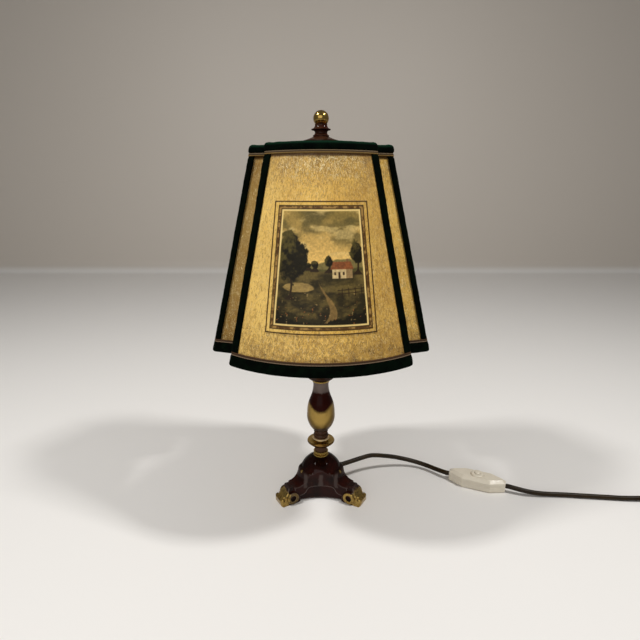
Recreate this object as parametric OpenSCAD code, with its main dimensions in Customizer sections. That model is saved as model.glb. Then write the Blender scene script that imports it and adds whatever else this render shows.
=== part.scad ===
// Table lamp on a three-footed cast base, with a turned brass stem, an inline cord
// switch and a velvet-trimmed parchment shade that hangs on a harp under a ball finial.
// Millimetres, +Z up. The origin lies on the table under the lamp's axis; the front is -Y.

/* [Base casting] */
// Height of the casting, from the table to the seat of the ring collar
base_h = 44; // [43:0.5:48]
// Distance from the axis to the ground line of each toe
toe_r = 53; // [50:0.5:56]
// Width of each foot at its sole
foot_w = 19.5; // [17:0.5:20]
// Height of each foot at its crest
foot_h = 19; // [18:0.5:20]
// Bevel on the two upright corners of each toe
toe_bevel = 5; // [3:0.5:6]
// Distance from the axis to the middle of each hollow wall
waist_r = 20; // [19:0.5:22]
// Radius of each hollow wall
hollow_r = 70; // [60:1:80]
// Height of the shoulder where the dome ends
shoulder_h = 31; // [30:0.5:32]
// Wall of the casting round its cavity
cast_wall = 4; // [3:0.5:4.5]
// Thickness of the crown that the tube is bolted through
crown_t = 9.5; // [6:0.5:10]
// Gap between the table and the walls between the feet
wall_lift = 0.8; // [0.6:0.1:1.6]
// Depth of the arched band sunk into each wall
band_d = 2; // [1:0.2:2.4]
// Height of that band at its middle
band_h = 16.5; // [15:0.5:18]
// Radius of the scroll on each side of a foot
scroll_r = 6.6; // [6:0.2:7]
// How far each scroll stands out beyond the sole
scroll_out = 1; // [0.6:0.2:1.6]
// Radius of the eye sunk into each scroll
scroll_eye_r = 3.3; // [2.4:0.1:3.6]

/* [Stem] */
// Outer diameter of the threaded tube
tube_d = 10; // [9:0.5:11]
// Bore of the threaded tube
tube_bore = 7; // [6:0.5:7.5]
// Height of the ring collar on the casting
collar_h = 6; // [4:0.5:8]
// Radius of the ring collar
collar_r = 8.25; // [7.75:0.25:9]
// Height of the neck above the collar
neck_h = 5.5; // [4:0.5:8]
// Radius of the neck
neck_r = 6; // [5.9:0.1:6.6]
// Height of the saucer disc
saucer_h = 10.5; // [9:0.5:13]
// Radius of the saucer disc at its rim
saucer_r = 15; // [13:0.2:18]
// Height of the two beads above the saucer
beads_h = 10; // [8:0.5:12]
// Radius of the lower bead
bead_r = 8.2; // [7.8:0.1:9]
// Height of the baluster
baluster_h = 56; // [50:0.5:64]
// Radius of the baluster at its belly
belly_r = 15; // [13:0.2:17]
// Radius of the baluster at its waist
baluster_neck_r = 8.2; // [7.4:0.2:9]
// Height of the thin gallery ring
gallery_h = 2; // [1:0.5:4]
// Radius of the gallery ring
gallery_r = 9.7; // [9.2:0.1:11]
// Height of the flared cup
cup_h = 12; // [10:0.5:18]
// Radius of the flared cup at its rim
cup_r = 18; // [16:0.5:22]
// Width across the flats of the nut under the crown
nut_af = 14; // [13:0.5:16]
// Thickness of the nut
nut_t = 5; // [3:0.5:6]
// Thickness of the washer
washer_t = 1.5; // [1:0.25:2]

/* [Lampholder and bulb] */
// Radius of the lampholder's cap
holder_r = 13.5; // [12:0.25:15]
// Height of the lampholder's cap
holder_cap_h = 12; // [10:0.5:16]
// Height of the lampholder's barrel
barrel_h = 31; // [28:0.5:40]
// Radius of the lampholder's barrel
barrel_r = 12; // [10:0.25:13]
// Radius of the bulb's screw cap
bulb_cap_r = 6.9; // [6.5:0.1:7.5]
// Length of the bulb's screw cap
bulb_cap_h = 21; // [18:0.5:24]
// Radius of the bulb's glass
bulb_r = 22.5; // [18:0.5:30]
// Wall of the bulb's glass
glass_t = 0.9; // [0.6:0.1:1.5]

/* [Harp] */
// Distance between the harp's two legs at the saddle
harp_w = 76; // [66:1:84]
// Height from the saddle to the top of the bail
harp_h = 219; // [212:0.5:230]
// Diameter of the bail's wire
wire_d = 3.2; // [2.6:0.1:4]
// How far the bail bulges beyond the saddle's posts
harp_bulge = 3.5; // [1:0.5:6]
// Thickness of the saddle strip
saddle_t = 1.5; // [1:0.25:2.5]
// Width of the saddle strip
saddle_w = 14; // [12:0.5:18]
// Length of the ferrules that join bail and saddle
ferrule_h = 13; // [10:0.5:18]
// Radius of the collar at the top of the bail
stud_collar_r = 6; // [5:0.25:7]
// Diameter of the stud that carries the finial
stud_d = 6; // [5:0.25:7]
// Length of the stud above its collar
stud_h = 15; // [12:0.5:17]

/* [Shade] */
// Height of the shade
shade_h = 193; // [170:1:210]
// Width of the front and back panels at the bottom, along the chord
panel_w = 164; // [156:1:170]
// Width of the front and back panels at the top, along the chord
panel_top_w = 92; // [86:1:98]
// Distance from the axis to the chord of the front panel at the bottom
panel_y = 71; // [66:0.5:78]
// Bow of the front and back panels at the bottom
panel_bow = 30.5; // [20:0.5:36]
// Distance from the axis to the chord of a side panel at the bottom
side_x = 105; // [98:0.5:110]
// Width of a side panel at the bottom
side_w = 62; // [50:1:70]
// Bow of a side panel at the bottom
side_bow = 3; // [1:0.5:5]
// Distance of each inner corner from the middle, across the lamp
notch_x = 79.5; // [76:0.5:84]
// Distance of each inner corner from the middle, front to back
notch_y = 39; // [34:0.5:46]
// Depth of the shade's top as a share of its bottom
top_ratio = 0.595; // [0.55:0.005:0.65]
// Thickness of the parchment
parchment_t = 1; // [0.6:0.1:1.6]
// Thickness of the velvet ribbon
velvet_t = 1.3; // [0.8:0.1:2]
// Height of the velvet round the bottom
velvet_bottom_h = 10.5; // [8:0.5:14]
// Height of the velvet round the top
velvet_top_h = 7; // [5:0.5:10]
// Width of the velvet on each face beside an upright edge
velvet_edge_w = 7; // [5:0.5:10]
// Width of the velvet on the strips set back beside the panels
velvet_strip_w = 4.5; // [3:0.5:7]
// Width of the braid
braid_w = 2.6; // [2:0.2:4]
// Thickness of the braid
braid_t = 1.5; // [1.4:0.1:2.2]
// Diameter of the shade's frame wire
frame_d = 2.4; // [1.8:0.2:3]
// Radius of the washer at the middle of the spider
hub_r = 12; // [10:0.5:14]
// Thickness of that washer
hub_t = 2; // [1.5:0.25:3]
// Height of that washer above the shade's rim
hub_rise = 2; // [1:0.5:4]
// Height of the picture's lower edge above the bottom of the shade
print_low = 36; // [30:0.5:45]
// Height of the picture with its frame
print_h = 109; // [90:0.5:118]
// Width of the picture's frame at its lower edge
print_w_low = 96; // [80:1:102]
// Width of the picture's frame at its upper edge
print_w_top = 77; // [66:1:80]
// Thickness of the picture's paper
print_t = 0.4; // [0.3:0.1:0.8]

/* [Finial] */
// Height of the flared cap under the finial
finial_cap_h = 4.5; // [4:0.5:8]
// Radius of the flared cap at its rim
finial_cap_r = 17; // [14:0.5:20]
// Height of the finial's collar
finial_collar_h = 11; // [9:0.5:14]
// Radius of the collar's disc
finial_disc_r = 9.1; // [8:0.1:11]
// Diameter of the finial's ball
ball_d = 14.6; // [13:0.2:18]

/* [Cord and switch] */
// Diameter of the cord
cord_d = 5.2; // [5:0.1:6]
// Height of the cord's exit above the table
exit_z = 22.5; // [21:0.5:24]
// Length of the tapered nose of the cord bush
bush_nose = 6; // [4:1:10]
// Length of the inline switch
switch_l = 62; // [58:0.5:66]
// Width of the inline switch
switch_w = 23; // [20:0.5:26]
// Height of the inline switch
switch_h = 14; // [13:0.5:18]
// Wall of the switch's shells
switch_wall = 2; // [1.6:0.1:2.4]
// Radius of the raised ring round the button
bezel_r = 7.4; // [6.5:0.1:9]
// Height of the raised ring
bezel_h = 1.6; // [1:0.1:2.5]
// Radius of the push button
button_r = 3.3; // [2.8:0.1:4]
// Travel of the push button
button_travel = 2; // [1.5:0.25:2.5]

/* [Coil and plug] */
// Radius of the coil's outermost turn
coil_r = 43; // [42:0.5:46]
// Turns in each of the coil's two layers
layer_turns = 3.375; // [3.375]
// Step from one turn to the next
coil_step = 7; // [6.8:0.1:7.4]
// Step from the lower layer to the upper one
coil_rise = 6.4; // [6.2:0.1:6.8]
// Thickness of the tie round the coil
tie_t = 1; // [0.6:0.1:1.2]
// Width of the tie
tie_w = 8; // [5:0.5:12]
// Length of the plug's body
plug_l = 36; // [32:0.5:40]
// Width of the plug's body at its face
plug_w = 35; // [33:0.5:37]
// Thickness of the plug's body
plug_t = 13.8; // [13:0.2:14]
// Length of the plug's pins
pin_l = 19; // [18:0.5:20]
// Diameter of the plug's pins
pin_d = 4; // [3.6:0.1:4.4]
// Distance between the plug's pins
pin_pitch = 18.6; // [17:0.1:19.5]
// Length of the plug's tapered strain relief
relief_l = 24; // [20:0.5:30]

/* [Hidden] */
$fn = 96;

// Colours
patina = [0.20, 0.13, 0.11];
brass = [0.70, 0.54, 0.25];
steel = [0.62, 0.62, 0.60];
parchment = [0.80, 0.66, 0.36];
velvet = [0.02, 0.09, 0.05];
braid = [0.46, 0.36, 0.19];
cord_colour = [0.33, 0.24, 0.12];
ivory = [0.86, 0.82, 0.74];

// Clearances: between bodies that move, between pieces of one body, and in a sliding bore
running_gap = 0.3;
seat_gap = 0.12;
bore_gap = 0.15;
eps = 0.01;

// Heights along the stem, each piece on the one below it
collar_z = base_h;
neck_z = collar_z + collar_h;
saucer_z = neck_z + neck_h;
beads_z = saucer_z + saucer_h;
baluster_z = beads_z + beads_h;
gallery_z = baluster_z + baluster_h;
cup_z = gallery_z + gallery_h;
saddle_z = cup_z + cup_h;
holder_z = saddle_z + saddle_t;
barrel_z = holder_z + holder_cap_h;
bulb_z = barrel_z + barrel_h;
bulb_centre_z = bulb_z + bulb_r + 9;
bail_top_z = saddle_z + harp_h;
stud_z = bail_top_z + wire_d / 2 + 3;
hub_z = stud_z + running_gap;
finial_z = hub_z + hub_t + running_gap;
finial_collar_z = finial_cap_h + finial_z;
ball_z = finial_collar_z + finial_collar_h;
shade_top = hub_z - hub_rise;
shade_bottom = shade_top - shade_h;

// Tripod: the legs point to these directions, with a hollow wall between each two
leg_angles = [90, 210, 330];
wall_angles = [30, 150, 270];
leg_top_r = 43;
toe_overhang = 1;
foot_back = 10;
leg_end_r = leg_top_r - foot_back / 2;
foot_crest_w = 10.4;
cavity_h = base_h - crown_t;
washer_z = cavity_h - washer_t;
nut_z = washer_z - nut_t;
tube_out = 1;
exit_angle = wall_angles[0];
exit_axis = [cos(exit_angle), sin(exit_angle), 0];
bush_r = 4.4;
bush_flange_r = 5.2;
bush_flange_t = 1.2;
nose_tip_r = cord_d / 2 + 0.5;
flange_start = waist_r + 0.3;
bush_end = flange_start + bush_flange_t + bush_nose;

// Points of a circular arc from p0 to p1; sag is its rise to the right of that direction
function arc(p0, p1, sag, n = 8) =
    let (chord = p1 - p0, c = norm(chord), half = 2 * atan(2 * sag / c))
    let (along = chord / c, right = [along.y, -along.x])
    abs(sag) < 1e-6 ? [for (i = [0:n]) p0 + chord * i / n] :
    let (r = c / 2 / sin(half), mid = (p0 + p1) / 2 - right * r * cos(half))
    [for (i = [0:n]) let (t = -half + 2 * half * i / n) mid + r * (along * sin(t) + right * cos(t))];

function unit(v) = v / norm(v);

// Triangles of a swept skin: n rings of m points, with end caps unless it is a loop
function skin_faces(n, m, loop = false) = concat(
    [for (i = [0:n - (loop ? 1 : 2)], j = [0:m - 1], k = [0:1])
        let (a = i * m + j, b = i * m + (j + 1) % m, i2 = (i + 1) % n)
        let (c = i2 * m + (j + 1) % m, d = i2 * m + j)
        k == 0 ? [a, c, b] : [a, d, c]],
    loop ? [] : [[for (j = [0:m - 1]) j], [for (j = [m - 1:-1:0]) (n - 1) * m + j]]);

// Direction of a path at its point i, square to its ends where end directions are given
function path_dir(path, i) =
    unit(path[min(i + 1, len(path) - 1)] - path[max(i - 1, 0)]);

// One ring of a round tube: radius r, m sides, with "up" as the reference direction
function tube_ring(p, dir, r, m, up) =
    let (e1 = unit(cross(dir, up)), e2 = cross(dir, e1))
    [for (j = [0:m - 1]) p + r * (e1 * cos(360 * j / m) + e2 * sin(360 * j / m))];

// A round tube along a path
module tube_along(path, r, m, up = [0, 0, 1]) {
    rings = [for (i = [0:len(path) - 1]) each tube_ring(path[i], path_dir(path, i), r, m, up)];
    polyhedron(rings, skin_faces(len(path), m));
}

// A smooth path through hand-chosen points, with "steps" pieces between each two
function smooth(pts, steps) =
    let (n = len(pts) - 1)
    concat([for (i = [0:n - 1], s = [0:steps - 1])
        let (p0 = pts[max(i - 1, 0)], p1 = pts[i], p2 = pts[i + 1], p3 = pts[min(i + 2, n)], t = s / steps)
        0.5 * (2 * p1 + (p2 - p0) * t + (2 * p0 - 5 * p1 + 4 * p2 - p3) * t * t
            + (3 * p1 - p0 - 3 * p2 + p3) * t * t * t)],
        [pts[n]]);

// A straight round rod between two points
module rod(p0, p1, r) {
    v = p1 - p0;
    translate(p0)
        rotate([0, acos(v.z / norm(v)), atan2(v.y, v.x)])
            cylinder(r = r, h = norm(v));
}

// A turned piece: an outline of [radius, height] points, bored for the threaded tube
module turned(outline, z, h) {
    translate([0, 0, z])
        difference() {
            rotate_extrude() polygon(concat([[0, 0]], outline, [[0, h]]));
            translate([0, 0, -eps]) cylinder(d = tube_d + 2 * bore_gap, h = h + 2 * eps);
        }
}

// Base casting

// Side view of the dome and the legs' backs, turned about the axis
function dome_outline() = concat(
    [[0, 0], [leg_end_r, 0], [leg_end_r, foot_h - 1.4]],
    arc([leg_end_r - 1, foot_h - 0.7], [waist_r + 5.6, shoulder_h - 3.6], -3.2, 10),
    arc([waist_r + 5.1, shoulder_h - 1.8], [waist_r + 2.6, shoulder_h + 0.3], 0.5, 4),
    arc([waist_r + 1.6, shoulder_h + 0.4], [collar_r + 0.3, base_h], 1.5, 10),
    [[0, base_h]]);

hollow_c = waist_r + hollow_r;
band_half = 22.5;

// The space outside one hollow wall, let in by "extra"
module hollow(angle, extra) {
    rotate(angle) translate([hollow_c, 0, -eps]) cylinder(r = hollow_r + extra, h = base_h + 1, $fn = 180);
}

// The right half of the sunk band, from its crown to its flared end
function half_band() = concat(
    arc([0, band_h], [band_half * 0.45, band_h - 0.8], -0.15, 4),
    arc([band_half * 0.45, band_h - 0.8], [band_half * 0.68, band_h * 0.7], -1.1, 5),
    arc([band_half * 0.68, band_h * 0.7], [band_half * 0.91, band_h * 0.44], 0.9, 5),
    [[band_half, band_h * 0.43], [band_half, -1]]);

module band(angle) {
    half = half_band();
    rotate([0, 0, angle])
        rotate([90, 0, 90])
            linear_extrude(toe_r) polygon(concat(half, [for (i = [len(half) - 1:-1:1]) [-half[i].x, half[i].y]]));
}

// Side view of a foot: back, crest, toe and sole
function foot_outline() = concat(
    [[leg_top_r - foot_back, foot_h - 1]],
    arc([leg_top_r, foot_h], [toe_r + toe_overhang, foot_h * 0.36], 2.8, 6),
    [[toe_r, 0], [leg_top_r - foot_back, 0]]);

scroll_at = [leg_top_r - 3, scroll_r + 0.4];

// The upright edge between a foot's toe and its side, from the sole to the crest
sole_corner = [toe_r - 1, foot_w / 2, 0];
crest_corner = [leg_top_r + 1, foot_crest_w / 2, foot_h];
function on_edge(t, side) =
    let (p = sole_corner + (crest_corner - sole_corner) * t) [p.x + 0.7, side * (p.y - 1.1), p.z];

module foot(angle) {
    rotate(angle) {
        difference() {
            intersection() {
                rotate([90, 0, 0])
                    translate([0, 0, -foot_w / 2]) linear_extrude(foot_w) polygon(foot_outline());
                linear_extrude(foot_h + 1) polygon([
                    [0, -foot_w / 2], [sole_corner.x, -foot_w / 2],
                    [toe_r + toe_overhang + eps, -foot_w / 2 + toe_bevel],
                    [toe_r + toe_overhang + eps, foot_w / 2 - toe_bevel],
                    [sole_corner.x, foot_w / 2], [0, foot_w / 2]]);
                rotate([90, 0, 90])
                    linear_extrude(2 * toe_r) polygon([
                        [-foot_w / 2, 0], [foot_w / 2, 0],
                        [foot_crest_w / 2, foot_h + eps], [-foot_crest_w / 2, foot_h + eps]]);
            }
            for (side = [-1, 1]) rod(on_edge(0.3, side), on_edge(0.82, side), 0.9);
        }
        translate([scroll_at.x, 0, scroll_at.y])
            rotate([90, 0, 0]) cylinder(r = scroll_r, h = foot_w + 2 * scroll_out, center = true);
    }
}

module scroll_eyes(angle) {
    rotate(angle)
        for (side = [-1, 1])
            translate([scroll_at.x, side * (foot_w / 2 + scroll_out), scroll_at.y])
                rotate([90, 0, 0]) cylinder(r = scroll_eye_r, h = 2 * scroll_out + 3, center = true);
}

module base_casting() {
    color(patina)
        difference() {
            union() {
                difference() {
                    rotate_extrude() polygon(dome_outline());
                    for (a = wall_angles) hollow(a, 0);
                    for (a = wall_angles)
                        intersection() {
                            hollow(a, band_d);
                            band(a);
                        }
                    translate([0, 0, -eps]) cylinder(r = leg_top_r - foot_back - 2, h = wall_lift + eps);
                }
                for (a = leg_angles) foot(a);
            }
            for (a = leg_angles) scroll_eyes(a);
            translate([0, 0, -eps]) cylinder(r = waist_r - cast_wall, h = cavity_h + eps);
            cylinder(d = tube_d + 2 * bore_gap, h = base_h + 1);
            translate([0, 0, exit_z]) rotate([0, 90, exit_angle]) cylinder(r = bush_r + bore_gap, h = hollow_c);
        }
}

module base_washer() {
    color(steel)
        translate([0, 0, washer_z])
            difference() {
                cylinder(d = nut_af + 6, h = washer_t);
                translate([0, 0, -eps]) cylinder(d = tube_d + 2 * bore_gap, h = washer_t + 2 * eps);
            }
}

module base_nut() {
    color(steel)
        translate([0, 0, nut_z])
            difference() {
                cylinder(d = nut_af / cos(30), h = nut_t, $fn = 6);
                translate([0, 0, -eps]) cylinder(d = tube_d + 2 * bore_gap, h = nut_t + 2 * eps);
            }
}

// Stem

tube_top = holder_z + holder_cap_h / 2;

module threaded_tube() {
    color(steel)
        translate([0, 0, nut_z - tube_out])
            difference() {
                cylinder(d = tube_d, h = tube_top - nut_z + tube_out);
                translate([0, 0, -eps]) cylinder(d = tube_bore, h = tube_top - nut_z + tube_out + 1);
            }
}

module ring_collar() {
    color(brass)
        turned(concat(
            arc([collar_r - 0.8, 0], [collar_r - 0.8, collar_h * 0.3], 0.8, 6),
            arc([collar_r - 1.2, collar_h * 0.34], [collar_r - 1.2, collar_h * 0.66], -0.8, 6),
            arc([collar_r - 0.9, collar_h * 0.7], [collar_r - 0.9, collar_h], 0.8, 6)), collar_z, collar_h);
}

module neck_spindle() {
    color(patina)
        turned(arc([neck_r + 0.9, 0], [neck_r, neck_h], -0.3, 8), neck_z, neck_h);
}

module saucer_disc() {
    rim = saucer_h * 0.6;
    color(brass)
        turned(concat(
            arc([neck_r + 0.2, 0], [saucer_r - 0.7, rim - 1.2], 0.8, 8),
            arc([saucer_r - 0.7, rim - 1.2], [saucer_r - 0.7, rim + 1.2], 0.7, 6),
            arc([saucer_r - 0.9, rim + 1.4], [bead_r + 1, saucer_h - 2], -0.5, 6),
            arc([bead_r + 0.6, saucer_h - 1.9], [bead_r - 0.3, saucer_h], 0.6, 6)), saucer_z, saucer_h);
}

module bead_rings() {
    low = beads_h * 0.5;
    color(patina)
        turned(concat(
            arc([bead_r - 1.2, 0], [bead_r - 1.2, low], 1.2, 8),
            [[bead_r - 1.6, low + 0.2], [bead_r - 1.6, low + 0.8]],
            arc([bead_r - 1.3, low + 1], [bead_r - 1.3, beads_h - 0.8], 0.8, 8),
            [[bead_r - 1, beads_h]]), beads_z, beads_h);
}

module baluster() {
    color(brass)
        turned(concat(
            arc([bead_r + 0.2, 0], [belly_r, baluster_h * 0.36], 2.4, 12),
            arc([belly_r, baluster_h * 0.36], [belly_r - 3.7, baluster_h * 0.668], 0.9, 10),
            arc([belly_r - 3.7, baluster_h * 0.668], [baluster_neck_r, baluster_h * 0.91], -0.6, 8),
            arc([baluster_neck_r, baluster_h * 0.91], [gallery_r - 0.6, baluster_h], -0.3, 5)),
            baluster_z, baluster_h);
}

module gallery_ring() {
    color(brass)
        turned(arc([gallery_r - 0.5, 0], [gallery_r - 0.5, gallery_h], 0.5, 6), gallery_z, gallery_h);
}

// The cup's floor carries the saddle; its flared rim is hollowed from above
module flared_cup() {
    floor_r = holder_r + 1;
    rim_t = 1.4;
    color(patina)
        translate([0, 0, cup_z])
            difference() {
                rotate_extrude() polygon(concat(
                    [[0, 0]],
                    arc([gallery_r - 0.4, 0], [cup_r - 2.2, cup_h * 0.42], 1, 8),
                    arc([cup_r - 1, cup_h * 0.55], [cup_r - 1, cup_h - 1.5], 1, 8),
                    [[cup_r - rim_t, cup_h - 1], [floor_r, cup_h - 1.6], [floor_r, cup_h], [0, cup_h]]));
                translate([0, 0, -eps]) cylinder(d = tube_d + 2 * bore_gap, h = cup_h + 2 * eps);
            }
}

// Harp

post_h = 8;

module harp_saddle() {
    color(brass) {
        translate([0, 0, saddle_z])
            difference() {
                linear_extrude(saddle_t) {
                    square([harp_w, saddle_w * 0.6], center = true);
                    circle(d = saddle_w);
                    for (s = [-1, 1]) translate([s * harp_w / 2, 0]) circle(d = saddle_w * 0.6);
                }
                translate([0, 0, -eps]) cylinder(d = tube_d + 2 * bore_gap, h = saddle_t + 2 * eps);
            }
        for (s = [-1, 1])
            translate([s * harp_w / 2, 0, saddle_z]) cylinder(d = wire_d, h = saddle_t + post_h);
    }
}

module harp_ferrules() {
    color(brass)
        for (s = [-1, 1])
            translate([s * harp_w / 2, 0, saddle_z + saddle_t])
                difference() {
                    cylinder(d = wire_d + 3, h = ferrule_h);
                    translate([0, 0, -eps]) cylinder(d = wire_d + 2 * bore_gap, h = ferrule_h + 2 * eps);
                }
}

// One half of the bail, from its leg to its top, in the lamp's XZ plane
leg = harp_w / 2;
leg_z = saddle_z + saddle_t + post_h;
bail_w = leg + harp_bulge;
bail_shoulder = 14;
bail_crown = 23;
bail_drop = 6;
half_bail = [
    [leg, 0, leg_z], [leg, 0, leg_z + 8],
    [bail_w - 1, 0, leg_z + 0.20 * harp_h], [bail_w, 0, leg_z + 0.40 * harp_h],
    [bail_w - 1, 0, leg_z + 0.58 * harp_h], [bail_w - bail_drop, 0, leg_z + 0.74 * harp_h],
    [bail_w - bail_shoulder, 0, leg_z + 0.85 * harp_h], [bail_w - bail_crown, 0, bail_top_z - bail_drop],
    [stud_collar_r + 5, 0, bail_top_z - 1], [stud_collar_r + 2, 0, bail_top_z],
    [stud_collar_r, 0, bail_top_z], [0, 0, bail_top_z]];
bail_path = smooth(concat(half_bail, [for (i = [len(half_bail) - 2:-1:0])
    [-half_bail[i].x, 0, half_bail[i].z]]), 2);

module harp_bail() {
    color(brass) tube_along(bail_path, wire_d / 2, 8, [0, 1, 0]);
}

// The collar is drilled for the bail's top and carries the threaded stud
module harp_stud() {
    color(brass)
        difference() {
            union() {
                translate([0, 0, bail_top_z - wire_d / 2 - 2]) cylinder(r = stud_collar_r, h = wire_d + 5);
                translate([0, 0, stud_z - eps]) cylinder(d = stud_d, h = stud_h + eps);
            }
            translate([0, 0, bail_top_z])
                rotate([0, 90, 0]) cylinder(d = wire_d + 2 * bore_gap, h = 3 * stud_collar_r, center = true);
        }
}

// Lampholder and bulb

barrel_bore = bulb_cap_r + 0.4;
barrel_floor = 6;
contact_h = 8;

module holder_cap() {
    inner_r = barrel_r - 2;
    color(patina)
        translate([0, 0, holder_z])
            difference() {
                rotate_extrude() polygon(concat(
                    [[0, 0]], arc([holder_r - 4, 0], [holder_r, 4], 1.2, 6),
                    [[holder_r, holder_cap_h], [0, holder_cap_h]]));
                translate([0, 0, -eps]) cylinder(d = tube_d + 2 * bore_gap, h = holder_cap_h);
                translate([0, 0, holder_cap_h / 2]) cylinder(r = inner_r, h = holder_cap_h);
            }
}

module holder_barrel() {
    color(ivory)
        translate([0, 0, barrel_z])
            difference() {
                rotate_extrude() polygon([
                    [0, 0], [barrel_r, 0], [barrel_r, barrel_h - 4],
                    [barrel_r + 1, barrel_h - 3], [barrel_r + 1, barrel_h], [0, barrel_h]]);
                translate([0, 0, barrel_floor]) cylinder(r = barrel_bore, h = barrel_h);
                translate([0, 0, -eps]) cylinder(r = 2.6, h = barrel_floor + 1);
            }
}

module holder_contact() {
    color(brass)
        translate([0, 0, barrel_z + barrel_floor]) {
            difference() {
                cylinder(r = barrel_bore - bore_gap, h = 1);
                translate([0, 0, -eps]) cylinder(r = 2.6, h = 1 + 2 * eps);
            }
            translate([3, -1.5, 1 - eps]) cube([2, 3, contact_tip_h()]);
        }
}

// Room between the contact's plate and the tip of the bulb's cap
function contact_tip_h() = barrel_h - barrel_floor - bulb_cap_h - 1 - running_gap;

module bulb_cap() {
    color(steel)
        translate([0, 0, bulb_z - bulb_cap_h])
            rotate_extrude() polygon(concat(
                [[0, 0], [5.5, 0], [bulb_cap_r, 3]],
                [[bulb_cap_r, bulb_cap_h + 4], [0, bulb_cap_h + 4]]));
}

// The glass stands on the screw cap, neck first
module bulb_glass() {
    neck = bulb_cap_r + 1;
    low = bulb_z + 4;
    color([0.95, 0.93, 0.88])
        difference() {
            union() {
                translate([0, 0, bulb_centre_z]) sphere(r = bulb_r);
                translate([0, 0, low]) cylinder(r = neck, h = bulb_centre_z - low);
            }
            translate([0, 0, bulb_centre_z]) sphere(r = bulb_r - glass_t);
            translate([0, 0, low + 1]) cylinder(r = neck - glass_t, h = bulb_centre_z - low);
        }
}

// Shade

front_n = 16;
side_n = 6;
side_half = side_w / 2;
notch_in = panel_w / 2 - notch_x;

// The shade's plan, anticlockwise from the left end of the front panel: half the width of the
// front and back panels, and the scale k of all else
function plan(half, k) = concat(
    arc([-half, -panel_y * k], [half, -panel_y * k], panel_bow * k, front_n),
    [[(half - notch_in * k), -notch_y * k]],
    arc([side_x, -side_half] * k, [side_x, side_half] * k, side_bow * k, side_n),
    [[(half - notch_in * k), notch_y * k]],
    arc([half, panel_y * k], [-half, panel_y * k], panel_bow * k, front_n),
    [[-(half - notch_in * k), notch_y * k]],
    arc([-side_x, side_half] * k, [-side_x, -side_half] * k, side_bow * k, side_n),
    [[-(half - notch_in * k), -notch_y * k]]);
low_plan = plan(panel_w / 2, 1);
high_plan = plan(panel_top_w / 2, top_ratio);
corners = len(low_plan);

// First and last outline points of each panel
front_span = [0, front_n];
right_span = [front_n + 2, front_n + 2 + side_n];
back_span = [right_span[1] + 2, right_span[1] + 2 + front_n];
left_span = [back_span[1] + 2, back_span[1] + 2 + side_n];

function up_share(z) = (z - shade_bottom) / shade_h;
function between(a, b, t) = a + (b - a) * t;
function at(i, z) = between(low_plan[i % corners], high_plan[i % corners], up_share(z));
function side_normal(i, z) = let (e = unit(at(i + 1, z) - at(i, z))) [e.y, -e.x];
function mitre(i, z) =
    let (n0 = side_normal(i + corners - 1, z), n1 = side_normal(i, z)) (n0 + n1) / (1 + n0 * n1);

// A point of the shade's wall at outline point i, "out" beyond the parchment's face
function wall_point(i, out, z) =
    let (p = at(i, z) + mitre(i, z) * out) [p.x, p.y, z];

// A section of [out, z] points, clockwise, swept along part of the outline or all round it
module wall_sweep(section, span) {
    loop = span[1] - span[0] >= corners;
    count = span[1] - span[0] + (loop ? 0 : 1);
    rings = [for (i = [0:count - 1], s = section) wall_point(span[0] + i, s[0], s[1])];
    polyhedron(rings, skin_faces(count, len(section), loop));
}

function box_section(out0, out1, z0, z1) = [[out1, z1], [out1, z0], [out0, z0], [out0, z1]];

all_round = [0, corners];
paper_bottom = shade_bottom + velvet_t + seat_gap;
paper_top = shade_top - velvet_t - seat_gap;
paper_section = box_section(-parchment_t, 0, paper_bottom, paper_top);

module panel(span) {
    color(parchment) wall_sweep(paper_section, span);
}

module panel_front() { panel(front_span); }
module panel_right() { panel(right_span); }
module panel_back() { panel(back_span); }
module panel_left() { panel(left_span); }
module corner_front_right() { panel([front_span[1], right_span[0]]); }
module corner_back_right() { panel([right_span[1], back_span[0]]); }
module corner_back_left() { panel([back_span[1], left_span[0]]); }
module corner_front_left() { panel([left_span[1], corners]); }

// The velvet folds round the shade's edge and the frame wire inside it
trim_in = -parchment_t - frame_d - 2 * seat_gap;
bottom_fold_z = shade_bottom + velvet_t;
top_fold_z = shade_top - velvet_t;
wire_low_z = bottom_fold_z + seat_gap + frame_d / 2;
wire_high_z = top_fold_z - seat_gap - frame_d / 2;
velvet_in_h = 6;

module velvet_bottom() {
    z1 = shade_bottom + velvet_bottom_h;
    color(velvet) wall_sweep([
        [seat_gap + velvet_t, z1], [seat_gap + velvet_t, shade_bottom + 0.6],
        [seat_gap + velvet_t - 0.6, shade_bottom], [trim_in - velvet_t + 0.6, shade_bottom],
        [trim_in - velvet_t, shade_bottom + 0.6], [trim_in - velvet_t, shade_bottom + velvet_in_h],
        [trim_in, shade_bottom + velvet_in_h], [trim_in, bottom_fold_z],
        [seat_gap, bottom_fold_z], [seat_gap, z1]], all_round);
}

module velvet_top() {
    z0 = shade_top - velvet_top_h;
    color(velvet) wall_sweep([
        [seat_gap + velvet_t, shade_top - 0.6], [seat_gap + velvet_t, z0], [seat_gap, z0],
        [seat_gap, top_fold_z], [trim_in, top_fold_z], [trim_in, shade_top - velvet_in_h],
        [trim_in - velvet_t, shade_top - velvet_in_h], [trim_in - velvet_t, shade_top - 0.6],
        [trim_in - velvet_t + 0.6, shade_top], [seat_gap + velvet_t - 0.6, shade_top]], all_round);
}

braid_low_z = shade_bottom + velvet_bottom_h + seat_gap;
braid_high_z = shade_top - velvet_top_h - seat_gap - braid_w;

module braid_ring(z) {
    color(braid) wall_sweep(box_section(seat_gap, seat_gap + braid_t, z, z + braid_w), all_round);
}

module braid_bottom() { braid_ring(braid_low_z); }
module braid_top() { braid_ring(braid_high_z); }

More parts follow.
